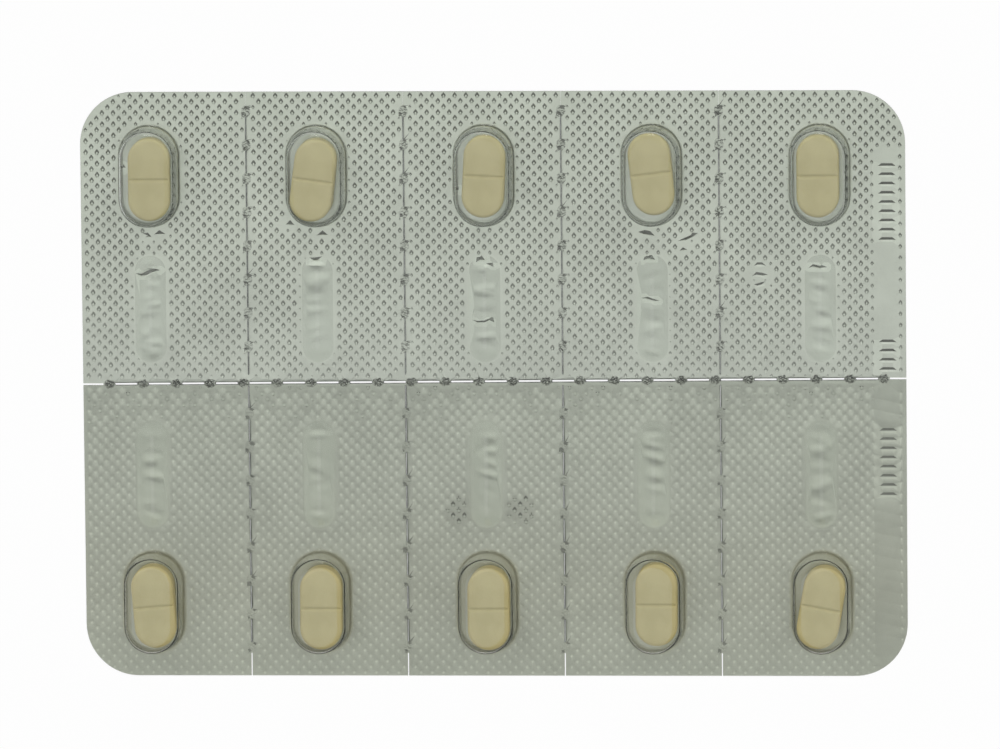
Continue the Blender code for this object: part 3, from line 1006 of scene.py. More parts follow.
@dataclass(frozen=True)
class LiddingFoil:
    """The flat foil: knurled where it is sealed, smooth under the pockets, the beads and the strip."""

    layout: Layout
    levels: Levels
    pocket: Form
    bead: Form
    knurl: SealKnurl = field(default_factory=SealKnurl)
    ticks: StripTicks = field(default_factory=StripTicks)
    crumple: Crumple = field(default_factory=Crumple)
    folds: BeadFolds = field(default_factory=BeadFolds)
    edge_growth: float = 0.02
    across_cut_dip: float = 0.03
    down_cut_dip: float = 0.012
    cut_steps: int = 4
    floor_run: float = 0.8
    pocket_floor_inset: float = 0.2
    bead_floor_inset: float = 0.15
    grid_inset: float = 0.45
    crease_room: float = 0.06
    pocket_spacing: float = 0.4
    bead_spacing: float = 0.27
    back_room: float = 0.1
    shade_slope: float = 0.1
    shade_slope_below: float = 0.168
    shade_way: float = 0.2
    crumple_shade: float = -0.03
    crushed_shade: float = 0.2
    sharp_degrees: float = 30.0

    def add_cuts(self, sheet: PlanSheet, level: float, dip: bool) -> tuple[np.ndarray, list[np.ndarray]]:
        """Adds the outline and the cuts to one face.

        Args:
            sheet: The face.
            level: Its height.
            dip: Whether the cuts' edges are pressed down.

        Returns:
            The numbers of the outline and of each cut.
        """
        rim = sheet.add_loop(self.layout.outline(self.edge_growth, self.edge_growth), level)
        sheet.holes += self.layout.notches(self.edge_growth, self.edge_growth)
        cuts = []
        for line in self.layout.cut_lines():
            depth = self.across_cut_dip if line.is_across() else self.down_cut_dip
            for cut in line.cuts():
                loop = line.cut_loop(cut, self.edge_growth, self.cut_steps)
                cuts.append(sheet.add_loop(loop, level - dip * depth, hole=True))
        return rim, cuts

    def inner_grid(self, form: Form, centre: tuple[float, float], spacing: float) -> np.ndarray:
        """Points inside a form's foot that keep clear of the creases.

        Args:
            form: The form.
            centre: Its centre.
            spacing: How far apart they lie.

        Returns:
            The points.
        """
        across = np.arange(-form.width / 2, form.width / 2, spacing)
        along = np.arange(-form.length / 2, form.length / 2, spacing)
        grid = np.array(np.meshgrid(across + spacing / 2, along + spacing / 2)).reshape(2, -1).T + centre
        grid = grid[form.distance(grid, centre) < -self.grid_inset]
        for crease in CREASES:
            gap, _ = line_distance(grid, np.array(crease.line))
            grid = grid[gap > crease.north + self.crease_room]
        return grid

    def add_pocket_floor(self, sheet: PlanSheet, centre: tuple[float, float]) -> None:
        """Adds the loose foil under one pocket, which sinks a little."""
        land, sink = self.levels.foil_land, self.levels.pocket_floor - self.levels.foil_land
        grid = self.inner_grid(self.pocket, centre, self.pocket_spacing)
        inset = self.pocket_floor_inset
        loop = self.pocket.outline(inset, centre)
        sheet.add_loop(loop, land + sink * smooth_step(inset / self.floor_run), lie=Lie.FLOOR)
        inside = -self.pocket.distance(grid, centre)
        sheet.add_points(grid, land + sink * smooth_step(inside / self.floor_run), Lie.FLOOR)

    def add_bead_floor(self, sheet: PlanSheet, centre: tuple[float, float]) -> None:
        """Adds the loose foil under one bead, with its folds."""
        land = self.levels.foil_land
        grid = self.inner_grid(self.bead, centre, self.bead_spacing)
        sheet.add_loop(self.bead.outline(self.bead_floor_inset, centre), land, lie=Lie.SOFT)
        inside = -self.bead.distance(grid, centre)
        sheet.add_points(grid, land + self.folds.height(grid, centre, inside), Lie.SOFT)

    def add_crumples(self, sheet: PlanSheet) -> None:
        """Adds the crumpled pillow at each bridge of the perforations, but none where two lines cross."""
        crumple, levels = self.crumple, self.levels
        local = crumple.grid()
        draws = np.random.default_rng(crumple.seed)
        for line in self.layout.cut_lines():
            for bridge in line.bridges():
                if not line.is_across() and abs(bridge - self.layout.across_y) < crumple.crossing_room:
                    continue
                share = 1 if line.is_across() else draws.uniform(*crumple.down_shares)
                if bridge < 0 and not line.is_across():
                    share *= crumple.share_below
                dark = crumple.marks(local, draws, line.is_across())
                level = levels.foil_land + share * crumple.height(local, dark, draws)
                level = np.clip(level, levels.dimple, levels.crumple_top)
                places = line.to_plan(local + (bridge, 0))
                sheet.add_points(places[dark], level[dark], Lie.DARK_CRUMPLE)
                sheet.add_points(places[~dark], level[~dark], Lie.CRUMPLE)

    def add_knurl(self, sheet: PlanSheet, middles: np.ndarray, shares: np.ndarray) -> None:
        """Adds the pits of the seal to the upper face.

        Args:
            sheet: The face.
            middles: Middle of each pit.
            shares: The share of its full size that each pit has.
        """
        land, low = self.levels.foil_land, self.levels.dimple
        rim, bottom = self.knurl.rim(), self.knurl.bottom()
        for middle, share, depth in zip(middles, shares, self.knurl.depths(middles)):
            ring = sheet.add_loop(middle + rim * share, land, lie=Lie.PIT_RIM)
            level = max(land - depth * share, low)
            grown = 1 if middle[1] > self.layout.across_y else self.knurl.bottom_growth_below
            floor = sheet.add_loop(middle + bottom * share * grown, level, lie=Lie.PIT_BOTTOM)
            sheet.edges.append(np.column_stack((floor, ring)))

    def upper_face(self, pits: tuple[np.ndarray, np.ndarray]) -> tuple[PlanSheet, np.ndarray, list]:
        """Draws the face that the film is sealed to.

        Args:
            pits: Middle and share of each pit of the seal.

        Returns:
            The face, and the numbers of its outline and its cuts.
        """
        sheet = PlanSheet()
        rim, cuts = self.add_cuts(sheet, self.levels.foil_land, dip=True)
        for centre in self.layout.places(self.layout.pocket_y):
            self.add_pocket_floor(sheet, centre)
        for centre in self.layout.places(self.layout.bead_y):
            self.add_bead_floor(sheet, centre)
        for crease in [*CREASES, *self.ticks.creases()]:
            crease.draw(sheet)
        self.add_crumples(sheet)
        self.add_knurl(sheet, *pits)
        return sheet, rim, cuts

    def lower_face(self, middles: np.ndarray) -> tuple[PlanSheet, np.ndarray, list]:
        """Draws the face that the pack lies on, with the knurl's points.

        Args:
            middles: Middle of each pit of the seal.

        Returns:
            The face, and the numbers of its outline and its cuts.
        """
        sheet = PlanSheet()
        rim, cuts = self.add_cuts(sheet, self.levels.foil_back, dip=False)
        sheet.add_points(middles, self.levels.knurl_points)
        half = self.knurl.pitch[0] / 2
        between = np.vstack((middles + (half, 0), middles - (half, 0)))
        between = np.unique(np.round(between, 4), axis=0)
        room = self.layout.edge_room(between)
        for line in self.layout.cut_lines():
            room = np.minimum(room, np.abs(line.from_plan(between)[:, 1]) - line.half_width_before)
        sheet.add_points(between[room > self.back_room], self.levels.foil_back)
        return sheet, rim, cuts

    def upper_style(self, corners: np.ndarray, lies: np.ndarray) -> tuple[np.ndarray, np.ndarray]:
        """Tells which triangles of the upper face are shaded round, and which finish each has; the finishes
        paint light and shade by the way each triangle faces.

        Args:
            corners: The triangles' corners.
            lies: What they belong to.

        Returns:
            Whether each is a part of a round face, and the number of its finish.
        """
        below = corners[:, :, 1].mean(axis=1) < self.layout.across_y
        soft, floor = (np.all(lies == lie.value, axis=1) for lie in (Lie.SOFT, Lie.FLOOR))
        crumpled = np.all((lies == Lie.CRUMPLE.value) | (lies == Lie.DARK_CRUMPLE.value), axis=1)
        crushed = np.sum(lies == Lie.DARK_CRUMPLE.value, axis=1) > 1
        wall, crease, tick = (
            np.any(lies == lie.value, axis=1) for lie in (Lie.PIT_BOTTOM, Lie.CREASE, Lie.TICK)
        )
        across = np.cross(corners[:, 1] - corners[:, 0], corners[:, 2] - corners[:, 0])
        size, lean = np.linalg.norm(across, axis=1), np.hypot(across[:, 0], across[:, 1])
        facing = across[:, 1] / size
        shaded = (lean > self.shade_slope * size) & (across[:, 1] < self.shade_way * lean)
        finish = np.full(len(corners), FoilPart.LAND)
        # Painted light and shade on the foil under the beads.
        finish[soft] = FoilPart.LOOSE
        # Painted highlight on the pits' bottoms.
        finish[np.all(lies == Lie.PIT_BOTTOM.value, axis=1)] = FoilPart.BRIGHT_PIT
        # Painted shade on the upper pits' walls that face away from the light, and below on the crumples'
        # sides.
        finish[wall & shaded & ~below] = FoilPart.SHADED_FOLD
        # Dark painted shade on the lower half's pit walls that face away from the light.
        finish[wall & below & (facing < -self.shade_slope_below)] = FoilPart.DARK_CRUMPLE
        # Painted soft shade on the crumples, darker where they face away from the light.
        finish[crumpled] = FoilPart.CRUMPLED
        finish[crumpled & (facing < self.crumple_shade)] = FoilPart.SHADED_FOLD
        finish[crushed] = FoilPart.CRUMPLED
        # Dark painted shade on the crushed parts that face away from the light.
        finish[crushed & (facing < self.crushed_shade)] = FoilPart.DARK_CRUMPLE
        # Painted shade on the sunk foil under the pockets.
        finish[floor] = FoilPart.CRUMPLED
        # Dark painted shade on crease walls that face away from the light.
        finish[crease & shaded & (facing < 0)] = FoilPart.DARK_CRUMPLE
        # Ticks: painted highlight on walls that face the light, painted shade on those that face away.
        finish[tick] = FoilPart.BRIGHT_PIT
        finish[tick & (facing < 0)] = FoilPart.DARK_CRUMPLE
        return (below | soft | floor) & ~crushed & ~crumpled, finish

    def lower_style(self, *_: np.ndarray) -> tuple[bool, FoilPart]:
        """Shades each triangle of the lower face flat, with the land's finish."""
        return False, FoilPart.LAND

    def build(self, finishes: list[bpy.types.Material]) -> bpy.types.Object:
        """Makes the foil.

        Args:
            finishes: One material for each FoilPart, in their order.

        Returns:
            The piece.
        """
        mesh = PieceMesh("knurled_lidding_foil")
        pits = self.knurl.pits(self.layout, self.crumple)
        upper, upper_rim, upper_cuts = self.upper_face(pits)
        lower, lower_rim, lower_cuts = self.lower_face(pits[0])
        top = mesh.add_face(upper, True, self.upper_style)
        bottom = mesh.add_face(lower, False, self.lower_style)
        mesh.add_skin(bottom[lower_rim], top[upper_rim], smooth=False)
        for below, above in zip(lower_cuts, upper_cuts):
            mesh.add_skin(top[above], bottom[below], smooth=False)
        return dress(mesh.build(finishes, self.sharp_degrees), Slot.FOIL, "lidding_foil")


@dataclass(frozen=True)
class FormingFilm:
    """The clear film: a flat flange with the pockets and beads drawn up from it."""

    layout: Layout
    levels: Levels
    pocket: Form
    bead: Form
    foot_margin: float = 0.1
    rim_bevel: float = 0.03
    across_cut_chamfer: float = 0.05
    down_cut_chamfer: float = 0.055
    notch_chamfer: float = 0.04
    cut_chamfer_depth: float = 0.09
    cut_steps: int = 4
    foot_rings: int = 6
    sharp_degrees: float = 40.0

    def face(self, inner: bool) -> tuple[PlanSheet, np.ndarray, list, list]:
        """Draws the upper or the lower face of the flange.

        Args:
            inner: Whether this is the lower face.

        Returns:
            The face, and the numbers of its outline, of its cuts and of the feet of its forms.
        """
        layout, levels = self.layout, self.levels
        sheet = PlanSheet()
        level = levels.film_back if inner else levels.flange_top
        inset, growth = (0, 0) if inner else (self.rim_bevel, self.notch_chamfer)
        rim = sheet.add_loop(layout.outline(inset, growth), level)
        sheet.holes += layout.notches(inset, growth)
        cuts = []
        for line in layout.cut_lines():
            chamfer = self.across_cut_chamfer if line.is_across() else self.down_cut_chamfer
            growth = 0 if inner else chamfer
            for cut in line.cuts():
                cuts.append(sheet.add_loop(line.cut_loop(cut, growth, self.cut_steps), level, True))
        feet = []
        for form, rows in ((self.pocket, layout.pocket_y), (self.bead, layout.bead_y)):
            for centre in layout.places(rows):
                feet.append(sheet.add_loop(form.outline(0, centre), level, True))
                sheet.add_loop(form.outline(-self.foot_margin, centre), level)
        return sheet, rim, cuts, feet

    def finish_of(self, form: Form, centre: tuple, ring: int) -> FilmPart:
        """Finish of a form's skin at one ring.

        Args:
            form: The form.
            centre: Its centre.
            ring: The ring's number, from the foot up.

        Returns:
            The finish.
        """
        if form is self.pocket and centre[1] < 0:
            return FilmPart.LOW_POCKET
        return FilmPart.FOOT if form is self.bead or ring < self.foot_rings else FilmPart.CROWN

    def draw_form(self, mesh: PieceMesh, foot: np.ndarray, form: Form, centre: tuple, inner: bool) -> None:
        """Draws one skin of a form up from its foot.

        Args:
            mesh: The film's mesh.
            foot: Numbers of the foot's ring.
            form: The form.
            centre: Its centre.
            inner: Whether this is the inner skin, which looks down.
        """
        profile = form.profile(self.levels, inner)
        rings = [foot]
        for inset, level in profile if inner else profile[1:]:
            rings.append(mesh.add_ring(form.outline(inset, centre), level))
        for number, (below, above) in enumerate(zip(rings, rings[1:])):
            finish = self.finish_of(form, centre, number)
            if inner:
                mesh.add_skin(above, below, finish)
            else:
                mesh.add_skin(below, above, finish)
        mesh.add_cap(rings[-1], not inner)

    def build(self, finishes: list[bpy.types.Material]) -> bpy.types.Object:
        """Makes the film.

        Args:
            finishes: One material for each FilmPart, in their order.

        Returns:
            The piece.
        """
        layout, levels = self.layout, self.levels
        mesh = PieceMesh("clear_forming_film")
        upper, upper_rim, upper_cuts, upper_feet = self.face(inner=False)
        lower, lower_rim, lower_cuts, lower_feet = self.face(inner=True)
        top = mesh.add_face(upper, up=True)
        bottom = mesh.add_face(lower, up=False)
        edge_level = levels.flange_top - self.rim_bevel
        edge = mesh.add_ring(layout.outline(0, 0), edge_level)
        mesh.add_skin(bottom[lower_rim], edge, smooth=False)
        mesh.add_skin(edge, top[upper_rim], smooth=False)
        middles = []
        for line in layout.cut_lines():
            for cut in line.cuts():
                loop = line.cut_loop(cut, 0, self.cut_steps)
                middles.append(mesh.add_ring(loop, levels.flange_top - self.cut_chamfer_depth))
        # The cut edges take painted shade, for the dark of the slits.
        for below, middle, above in zip(lower_cuts, middles, upper_cuts):
            mesh.add_skin(top[above], middle, FilmPart.CRUSHED_EDGE, smooth=False)
            mesh.add_skin(middle, bottom[below], FilmPart.CRUSHED_EDGE, smooth=False)
        pockets, beads = layout.places(layout.pocket_y), layout.places(layout.bead_y)
        forms = [self.pocket] * len(pockets) + [self.bead] * len(beads)
        for form, centre, outer, inner in zip(forms, pockets + beads, upper_feet, lower_feet):
            self.draw_form(mesh, top[outer], form, centre, inner=False)
            self.draw_form(mesh, bottom[inner], form, centre, inner=True)
        return dress(mesh.build(finishes, self.sharp_degrees), Slot.CLEAR_FILM, "forming_film")


@dataclass(frozen=True)
class Tablet:
    """A scored oblong tablet with rounded edges, its long side along Y, in millimetres."""

    length: float = 9.4
    width: float = 4.8
    thickness: float = 3.6
    edge_inset: float = 0.45
    edge_drop: float = 0.4
    edge_steps: int = 7
    end_steps: int = 24
    score_half_width: float = 0.25
    score_depth: float = 0.25
    score_bottom_radius: float = 0.05
    score_line_shares: tuple = (-1.3, -1.0, -0.6, -0.25, 0.0, 0.25, 0.6, 1.0, 1.3)
    score_reach: float = 0.4
    inner_insets: tuple = (0.8, 1.3, 1.8)
    crown: float = 0.03
    sharp_degrees: float = 50.0

    def level(self, points: np.ndarray) -> np.ndarray:
        """Height of the upper face over the tablet's middle plane.

        Args:
            points: Points inside the outline.

        Returns:
            One height for each point.
        """
        inside = np.maximum(-stadium_distance(points, (0, 0), self.length, self.width), 0)
        short = np.clip(1 - inside / self.edge_inset, 0, 1)
        rounded = self.thickness / 2 - self.crown - self.edge_drop * (1 - np.sqrt(1 - short**2))
        rounded += self.crown * smooth_step(inside / (self.width / 2))
        slope = self.score_depth / self.score_half_width
        rise = np.hypot(points[:, 1], self.score_bottom_radius) * slope
        return np.minimum(rounded, rise + self.thickness / 2 - self.score_depth)

    def mesh(self, finish: bpy.types.Material) -> bpy.types.Mesh:
        """Makes the mesh that the ten tablets share.

        Args:
            finish: Its material.

        Returns:
            The mesh.
        """
        sheet = PlanSheet()
        turns = np.linspace(0, math.pi / 2, self.edge_steps + 1)
        insets = self.edge_inset * (1 - np.cos(turns))
        lines = self.score_half_width * np.array(self.score_line_shares)
        for inset in (*insets, *self.inner_insets):
            ring = stadium(self.length - 2 * inset, self.width - 2 * inset, self.end_steps)
            half = self.width / 2 - inset
            right = np.column_stack((np.full(len(lines), half), lines))
            left = np.column_stack((np.full(len(lines), -half), lines[::-1]))
            ring = np.vstack((ring[: self.end_steps + 1], left, ring[self.end_steps + 1 :], right))
            sheet.add_loop(ring, self.level(ring))
        across = np.array((-self.score_reach, 0, self.score_reach))
        for y in lines:
            points = np.column_stack((across, np.full(len(across), y)))
            sheet.add_points(points, self.level(points))
        piece = PieceMesh("pressed_tablet")
        top = piece.add_face(sheet, up=True)
        sheet.levels = [-level for level in sheet.levels]
        bottom = piece.add_face(sheet, up=False)
        count = 2 * (self.end_steps + 1) + 2 * len(lines)
        piece.add_skin(bottom[:count], top[:count])
        made = piece.build([finish], self.sharp_degrees)
        mesh = made.data
        bpy.data.objects.remove(made)
        return mesh


class TabletSet:
    """The ten tablets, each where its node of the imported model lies."""

    def __init__(self, tablet: Tablet) -> None:
        """Keeps the shape that they share."""
        self.tablet = tablet

    def lie_of(self, node: str) -> Matrix:
        """Where a tablet's node lies, from its corners.

        Args:
            node: The node's name.

        Returns:
            The place and turn, in metres.
        """
        points = np.array([tuple(v.co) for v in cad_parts[node].data.vertices])
        low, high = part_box(node)
        middle = (low + high) / 2
        plan = points[:, :2] - np.array(middle[:2])
        spread, ways = np.linalg.eigh(plan.T @ plan)
        long_way = ways[:, int(np.argmax(spread))]
        long_way = long_way * (1 if long_way[1] > 0 else -1)
        return Matrix.Translation(middle) @ Matrix.Rotation(math.atan2(-long_way[0], long_way[1]), 4, "Z")

    def build(self, finish: bpy.types.Material) -> list[bpy.types.Object]:
        """Makes the tablets.

        Args:
            finish: Their material.

        Returns:
            The pieces.
        """
        shared = self.tablet.mesh(finish)
        made = []
        for node in sorted(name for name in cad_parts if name.startswith("tablet_")):
            piece = bpy.data.objects.new(f"pressed_{node}", shared)
            bpy.context.scene.collection.objects.link(piece)
            piece.matrix_world = self.lie_of(node)
            made.append(dress(piece, Slot.TABLET, node))
        return made


class Nodes:
    """A node tree with short ways to add and join nodes."""

    def __init__(self, tree: bpy.types.NodeTree) -> None:
        """Keeps the tree and empties it."""
        self.tree = tree
        tree.nodes.clear()

    def add(self, kind: str, **values: object) -> bpy.types.Node:
        """Adds a node.

        Args:
            kind: The node's type, without the words before it.
            values: Its properties.

        Returns:
            The node.
        """
        node = self.tree.nodes.new(kind if kind.startswith("NodeGroup") else f"ShaderNode{kind}")
        for name, value in values.items():
            setattr(node, name, value)
        return node

    def join(self, output: bpy.types.NodeSocket, socket: bpy.types.NodeSocket) -> None:
        """Links an output to an input."""
        self.tree.links.new(output, socket)

    def make(self, kind: str, inputs: dict, **values: object) -> bpy.types.NodeSocket:
        """Adds a node and fills in its inputs.

        Args:
            kind: The node's type, without the words before it.
            inputs: For each input, by name or number, a plain value or the output that is linked to it.
            values: Its properties.

        Returns:
            The first output that it has in use.
        """
        node = self.add(kind, **values)
        for name, value in inputs.items():
            if isinstance(value, bpy.types.NodeSocket):
                self.join(value, node.inputs[name])
            else:
                node.inputs[name].default_value = value
        return next(output for output in node.outputs if output.enabled)

    def ramp(self, value: bpy.types.NodeSocket, stops: tuple, soft: bool = True) -> bpy.types.NodeSocket:
        """Adds a colour ramp.

        Args:
            value: What it reads.
            stops: Place and colour, or place and grey value, of each stop.
            soft: Whether it eases from stop to stop.

        Returns:
            Its colour.
        """
        node = self.add("ValToRGB")
        node.color_ramp.interpolation = "EASE" if soft else "LINEAR"
        made = node.color_ramp.elements
        while len(made) < len(stops):
            made.new(0.5)
        for stop, (place, colour) in zip(made, stops):
            stop.position = place
            stop.color = (*colour, 1) if isinstance(colour, tuple) else (colour, colour, colour, 1)
        self.join(value, node.inputs["Fac"])
        return node.outputs["Color"]

    def end(self, shader: bpy.types.NodeSocket, kind: str = "OutputMaterial") -> None:
        """Ends the tree in a shader."""
        self.join(shader, self.add(kind).inputs["Surface"])


def new_material(name: str) -> tuple[bpy.types.Material, Nodes]:
    """A material with an empty node tree.

    Args:
        name: Its name.

    Returns:
        The material and its nodes.
    """
    made = bpy.data.materials.new(name)
    made.use_nodes = True
    return made, Nodes(made.node_tree)


def new_effect(name: str, output: str) -> tuple[Nodes, bpy.types.Node, bpy.types.NodeSocket]:
    """A shared effect that is still empty, with Vector and Scale in.

    Args:
        name: The group's name.
        output: The name of the value that it gives.

    Returns:
        The group's nodes, the node with what it is given, and the socket for what it gives.
    """
    group = bpy.data.node_groups.new(name, "ShaderNodeTree")
    group.interface.new_socket("Vector", in_out="INPUT", socket_type="NodeSocketVector")
    group.interface.new_socket("Scale", in_out="INPUT", socket_type="NodeSocketFloat")
    group.interface.new_socket(output, in_out="OUTPUT", socket_type="NodeSocketFloat")
    nodes = Nodes(group)
    return nodes, nodes.add("NodeGroupInput"), nodes.add("NodeGroupOutput").inputs[output]


def mottle_effect(detail: float = 3.0, low: float = 0.3, high: float = 0.7) -> bpy.types.NodeTree:
    """The shared effect of soft, cloudy patches, as a value from 0 to 1.

    Args:
        detail: How much finer the patches get.
        low: The noise that counts as 0.
        high: The noise that counts as 1.

    Returns:
        The group, with Vector and Scale in and Value out.
    """
    nodes, given, value = new_effect("soft_mottle", "Value")
    inputs = {name: given.outputs[name] for name in ("Vector", "Scale")}
    noise = nodes.make("TexNoise", {**inputs, "Detail": detail})
    nodes.join(nodes.make("MapRange", {"Value": noise, "From Min": low, "From Max": high}), value)
    return nodes.tree


def grain_effect(detail: float = 2.0, finer: float = 3.7) -> bpy.types.NodeTree:
    """The shared effect of a fine grain, as a height for bump.

    Args:
        detail: How much finer each of its two noises gets.
        finer: How many times finer the second noise is than the first.

    Returns:
        The group, with Vector and Scale in and Height out.
    """
    nodes, given, height = new_effect("fine_grain", "Height")
    scale = given.outputs["Scale"]
    scales = (scale, nodes.make("Math", {0: scale, 1: finer}, operation="MULTIPLY"))
    inputs = {"Vector": given.outputs["Vector"], "Detail": detail}
    coarse, fine = (nodes.make("TexNoise", {**inputs, "Scale": each}) for each in scales)
    nodes.join(nodes.make("Math", {0: coarse, 1: fine}, operation="ADD"), height)
    return nodes.tree


@dataclass(frozen=True)
class Effects:
    """The shader node groups that the finishes share."""

    mottle: bpy.types.NodeTree
    grain: bpy.types.NodeTree

    def place(self, nodes: Nodes, group: bpy.types.NodeTree, scale: float) -> bpy.types.NodeSocket:
        """Places a group in a material, on the surface of its piece.

        Args:
            nodes: The material's nodes.
            group: The group.
            scale: The effect's scale.

        Returns:
            The group's output.
        """
        node = nodes.add("Group", node_tree=group)
        node.inputs["Scale"].default_value = scale
        nodes.join(nodes.add("TexCoord").outputs["Object"], node.inputs["Vector"])
        return node.outputs[0]


@dataclass(frozen=True)
class FoilFinish:
    """Satin lacquered aluminium with painted shade: darker and a little browner in the pack's lower half,
    standing in for the dimmer reflection where the pack bends at the cross perforation.
    """

    name: str = "satin_foil"
    # The step in these tones at the cross perforation is painted shade: a darker lower half, for its dimmer
    # reflection.
    tones: tuple = (
        (-33.4, (0.405, 0.428, 0.355)),
        (-24.0, (0.40, 0.418, 0.343)),
        (-12.0, (0.416, 0.441, 0.372)),
        (-0.06, (0.423, 0.453, 0.384)),
        (0.06, (0.55, 0.585, 0.515)),
        (14.0, (0.575, 0.615, 0.535)),
        (33.4, (0.59, 0.635, 0.545)),
    )
    # Gains at the pack's lower and upper end; other than 1 they make a lit or shaded copy of this finish,
    # with painted light and shade.
    gains: tuple[float, float] = (1.0, 1.0)
    cloud_gains: tuple[float, float] = (0.93, 1.05)
    cloud_scale: float = 90.0
    roughness: tuple[float, float] = (0.28, 0.36)
    roughness_scale: float = 400.0
    reach: float = 33.4
    line_y: float = 0.33
    line_degrees: float = 0.36

    def stops(self) -> tuple:
        """Place and colour of each tone up the pack, with the gains of its lower and upper end, which paint
        the light and shade of this copy.
        """
        low, high = self.gains
        made = []
        for y, tone in self.tones:
            share = (y + self.reach) / (2 * self.reach)
            made.append((share, tuple((low + (high - low) * share) * part for part in tone)))
        return tuple(made)

    def build(self, effects: Effects) -> bpy.types.Material:
        """Makes the material.

        Args:
            effects: The shared node groups.

        Returns:
            The material.
        """
        made, nodes = new_material(self.name)
        parts = nodes.add("SeparateXYZ")
        nodes.join(nodes.add("TexCoord").outputs["Object"], parts.inputs[0])
        x, y = parts.outputs["X"], parts.outputs["Y"]
        slope = -math.tan(math.radians(self.line_degrees))
        level = nodes.make("Math", {0: x, 1: slope, 2: y}, operation="MULTIPLY_ADD")
        low, high = ((self.line_y + way * self.reach) * MM for way in (-1, 1))
        share = nodes.make("MapRange", {"Value": level, "From Min": low, "From Max": high})
        tone = nodes.ramp(share, self.stops(), soft=False)
        low, high = self.cloud_gains
        cloud = effects.place(nodes, effects.mottle, self.cloud_scale)
        gain = nodes.make("MapRange", {"Value": cloud, "To Min": low, "To Max": high})
        inputs = {"Factor": 1.0, "A": tone, "B": gain}
        colour = nodes.make("Mix", inputs, data_type="RGBA", blend_type="MULTIPLY")
        low, high = self.roughness
        cloud = effects.place(nodes, effects.mottle, self.roughness_scale)
        rough = nodes.make("MapRange", {"Value": cloud, "To Min": low, "To Max": high})
        nodes.end(nodes.make("BsdfPrincipled", {"Metallic": 1.0, "Base Color": colour, "Roughness": rough}))
        return made


@dataclass(frozen=True)
class FilmFinish:
    """Clear glossy film, which lets the light of lamps through to what it covers."""

    name: str = "clear_film"
    colour: tuple = (0.975, 0.985, 0.975)
    roughness: float = 0.03
    ior: float = 1.53
    coat: float = 0.0
    ripple_strength: float = 0.25
    ripple_height: float = 0.00001
    ripple_scale: float = 500.0

    def build(self, effects: Effects) -> bpy.types.Material:
        """Makes the material.

        Args:
            effects: The shared node groups.

        Returns:
            The material.
        """
        made, nodes = new_material(self.name)
        height = effects.place(nodes, effects.mottle, self.ripple_scale)
        strength, distance = self.ripple_strength, self.ripple_height
        inputs = {
            "Base Color": (*self.colour, 1),
            "Roughness": self.roughness,
            "IOR": self.ior,
            "Transmission Weight": 1.0,
            "Coat Weight": self.coat,
            "Normal": nodes.make("Bump", {"Strength": strength, "Distance": distance, "Height": height}),
        }
        glass = nodes.make("BsdfPrincipled", inputs)
        clear = nodes.make("BsdfTransparent", {"Color": (*self.colour, 1)})
        path = nodes.add("LightPath").outputs
        lit = nodes.make("MixShader", {0: path["Is Diffuse Ray"], 1: glass, 2: clear})
        nodes.end(nodes.make("MixShader", {0: path["Is Shadow Ray"], 1: lit, 2: clear}))
        return made


@dataclass(frozen=True)
class CutEdgeFinish:
    """The dull edge of a cut through film and foil, painted dark as the shade in the narrow slit."""

    colour: tuple = (0.26, 0.28, 0.26)
    gains: tuple[float, float] = (0.6, 1.5)
    cloud_scale: float = 1500.0
    roughness: float = 0.55

    def build(self, effects: Effects) -> bpy.types.Material:
        """Makes the material.

        Args:
            effects: The shared node groups.

        Returns:
            The material.
        """
        made, nodes = new_material("crushed_edge")
        cloud = effects.place(nodes, effects.mottle, self.cloud_scale)
        dark, light = ((*(gain * part for part in self.colour), 1) for gain in self.gains)
        tone = nodes.make("Mix", {"Factor": cloud, "A": dark, "B": light}, data_type="RGBA")
        nodes.end(nodes.make("BsdfPrincipled", {"Base Color": tone, "Roughness": self.roughness}))
        return made


@dataclass(frozen=True)
class TabletFinish:
    """Pressed powder under a thin beige coat, nearly matt."""

    pale: tuple = (0.52, 0.462, 0.23)
    deep: tuple = (0.455, 0.398, 0.187)
    roughness: float = 0.55
    cloud_scale: float = 450.0
    grain_scale: float = 2500.0
    grain_strength: float = 0.5
    grain_height: float = 0.00003

    def build(self, effects: Effects) -> bpy.types.Material:
        """Makes the material.

        Args:
            effects: The shared node groups.

        Returns:
            The material.
        """
        made, nodes = new_material("pressed_tablet")
        cloud = effects.place(nodes, effects.mottle, self.cloud_scale)
        colours = {"A": (*self.deep, 1), "B": (*self.pale, 1)}
        tone = nodes.make("Mix", {"Factor": cloud, **colours}, data_type="RGBA")
        grain = effects.place(nodes, effects.grain, self.grain_scale)
        strength, distance = self.grain_strength, self.grain_height
        normal = nodes.make("Bump", {"Strength": strength, "Distance": distance, "Height": grain})
        inputs = {"Base Color": tone, "Roughness": self.roughness, "Normal": normal}
        nodes.end(nodes.make("BsdfPrincipled", inputs))
        return made


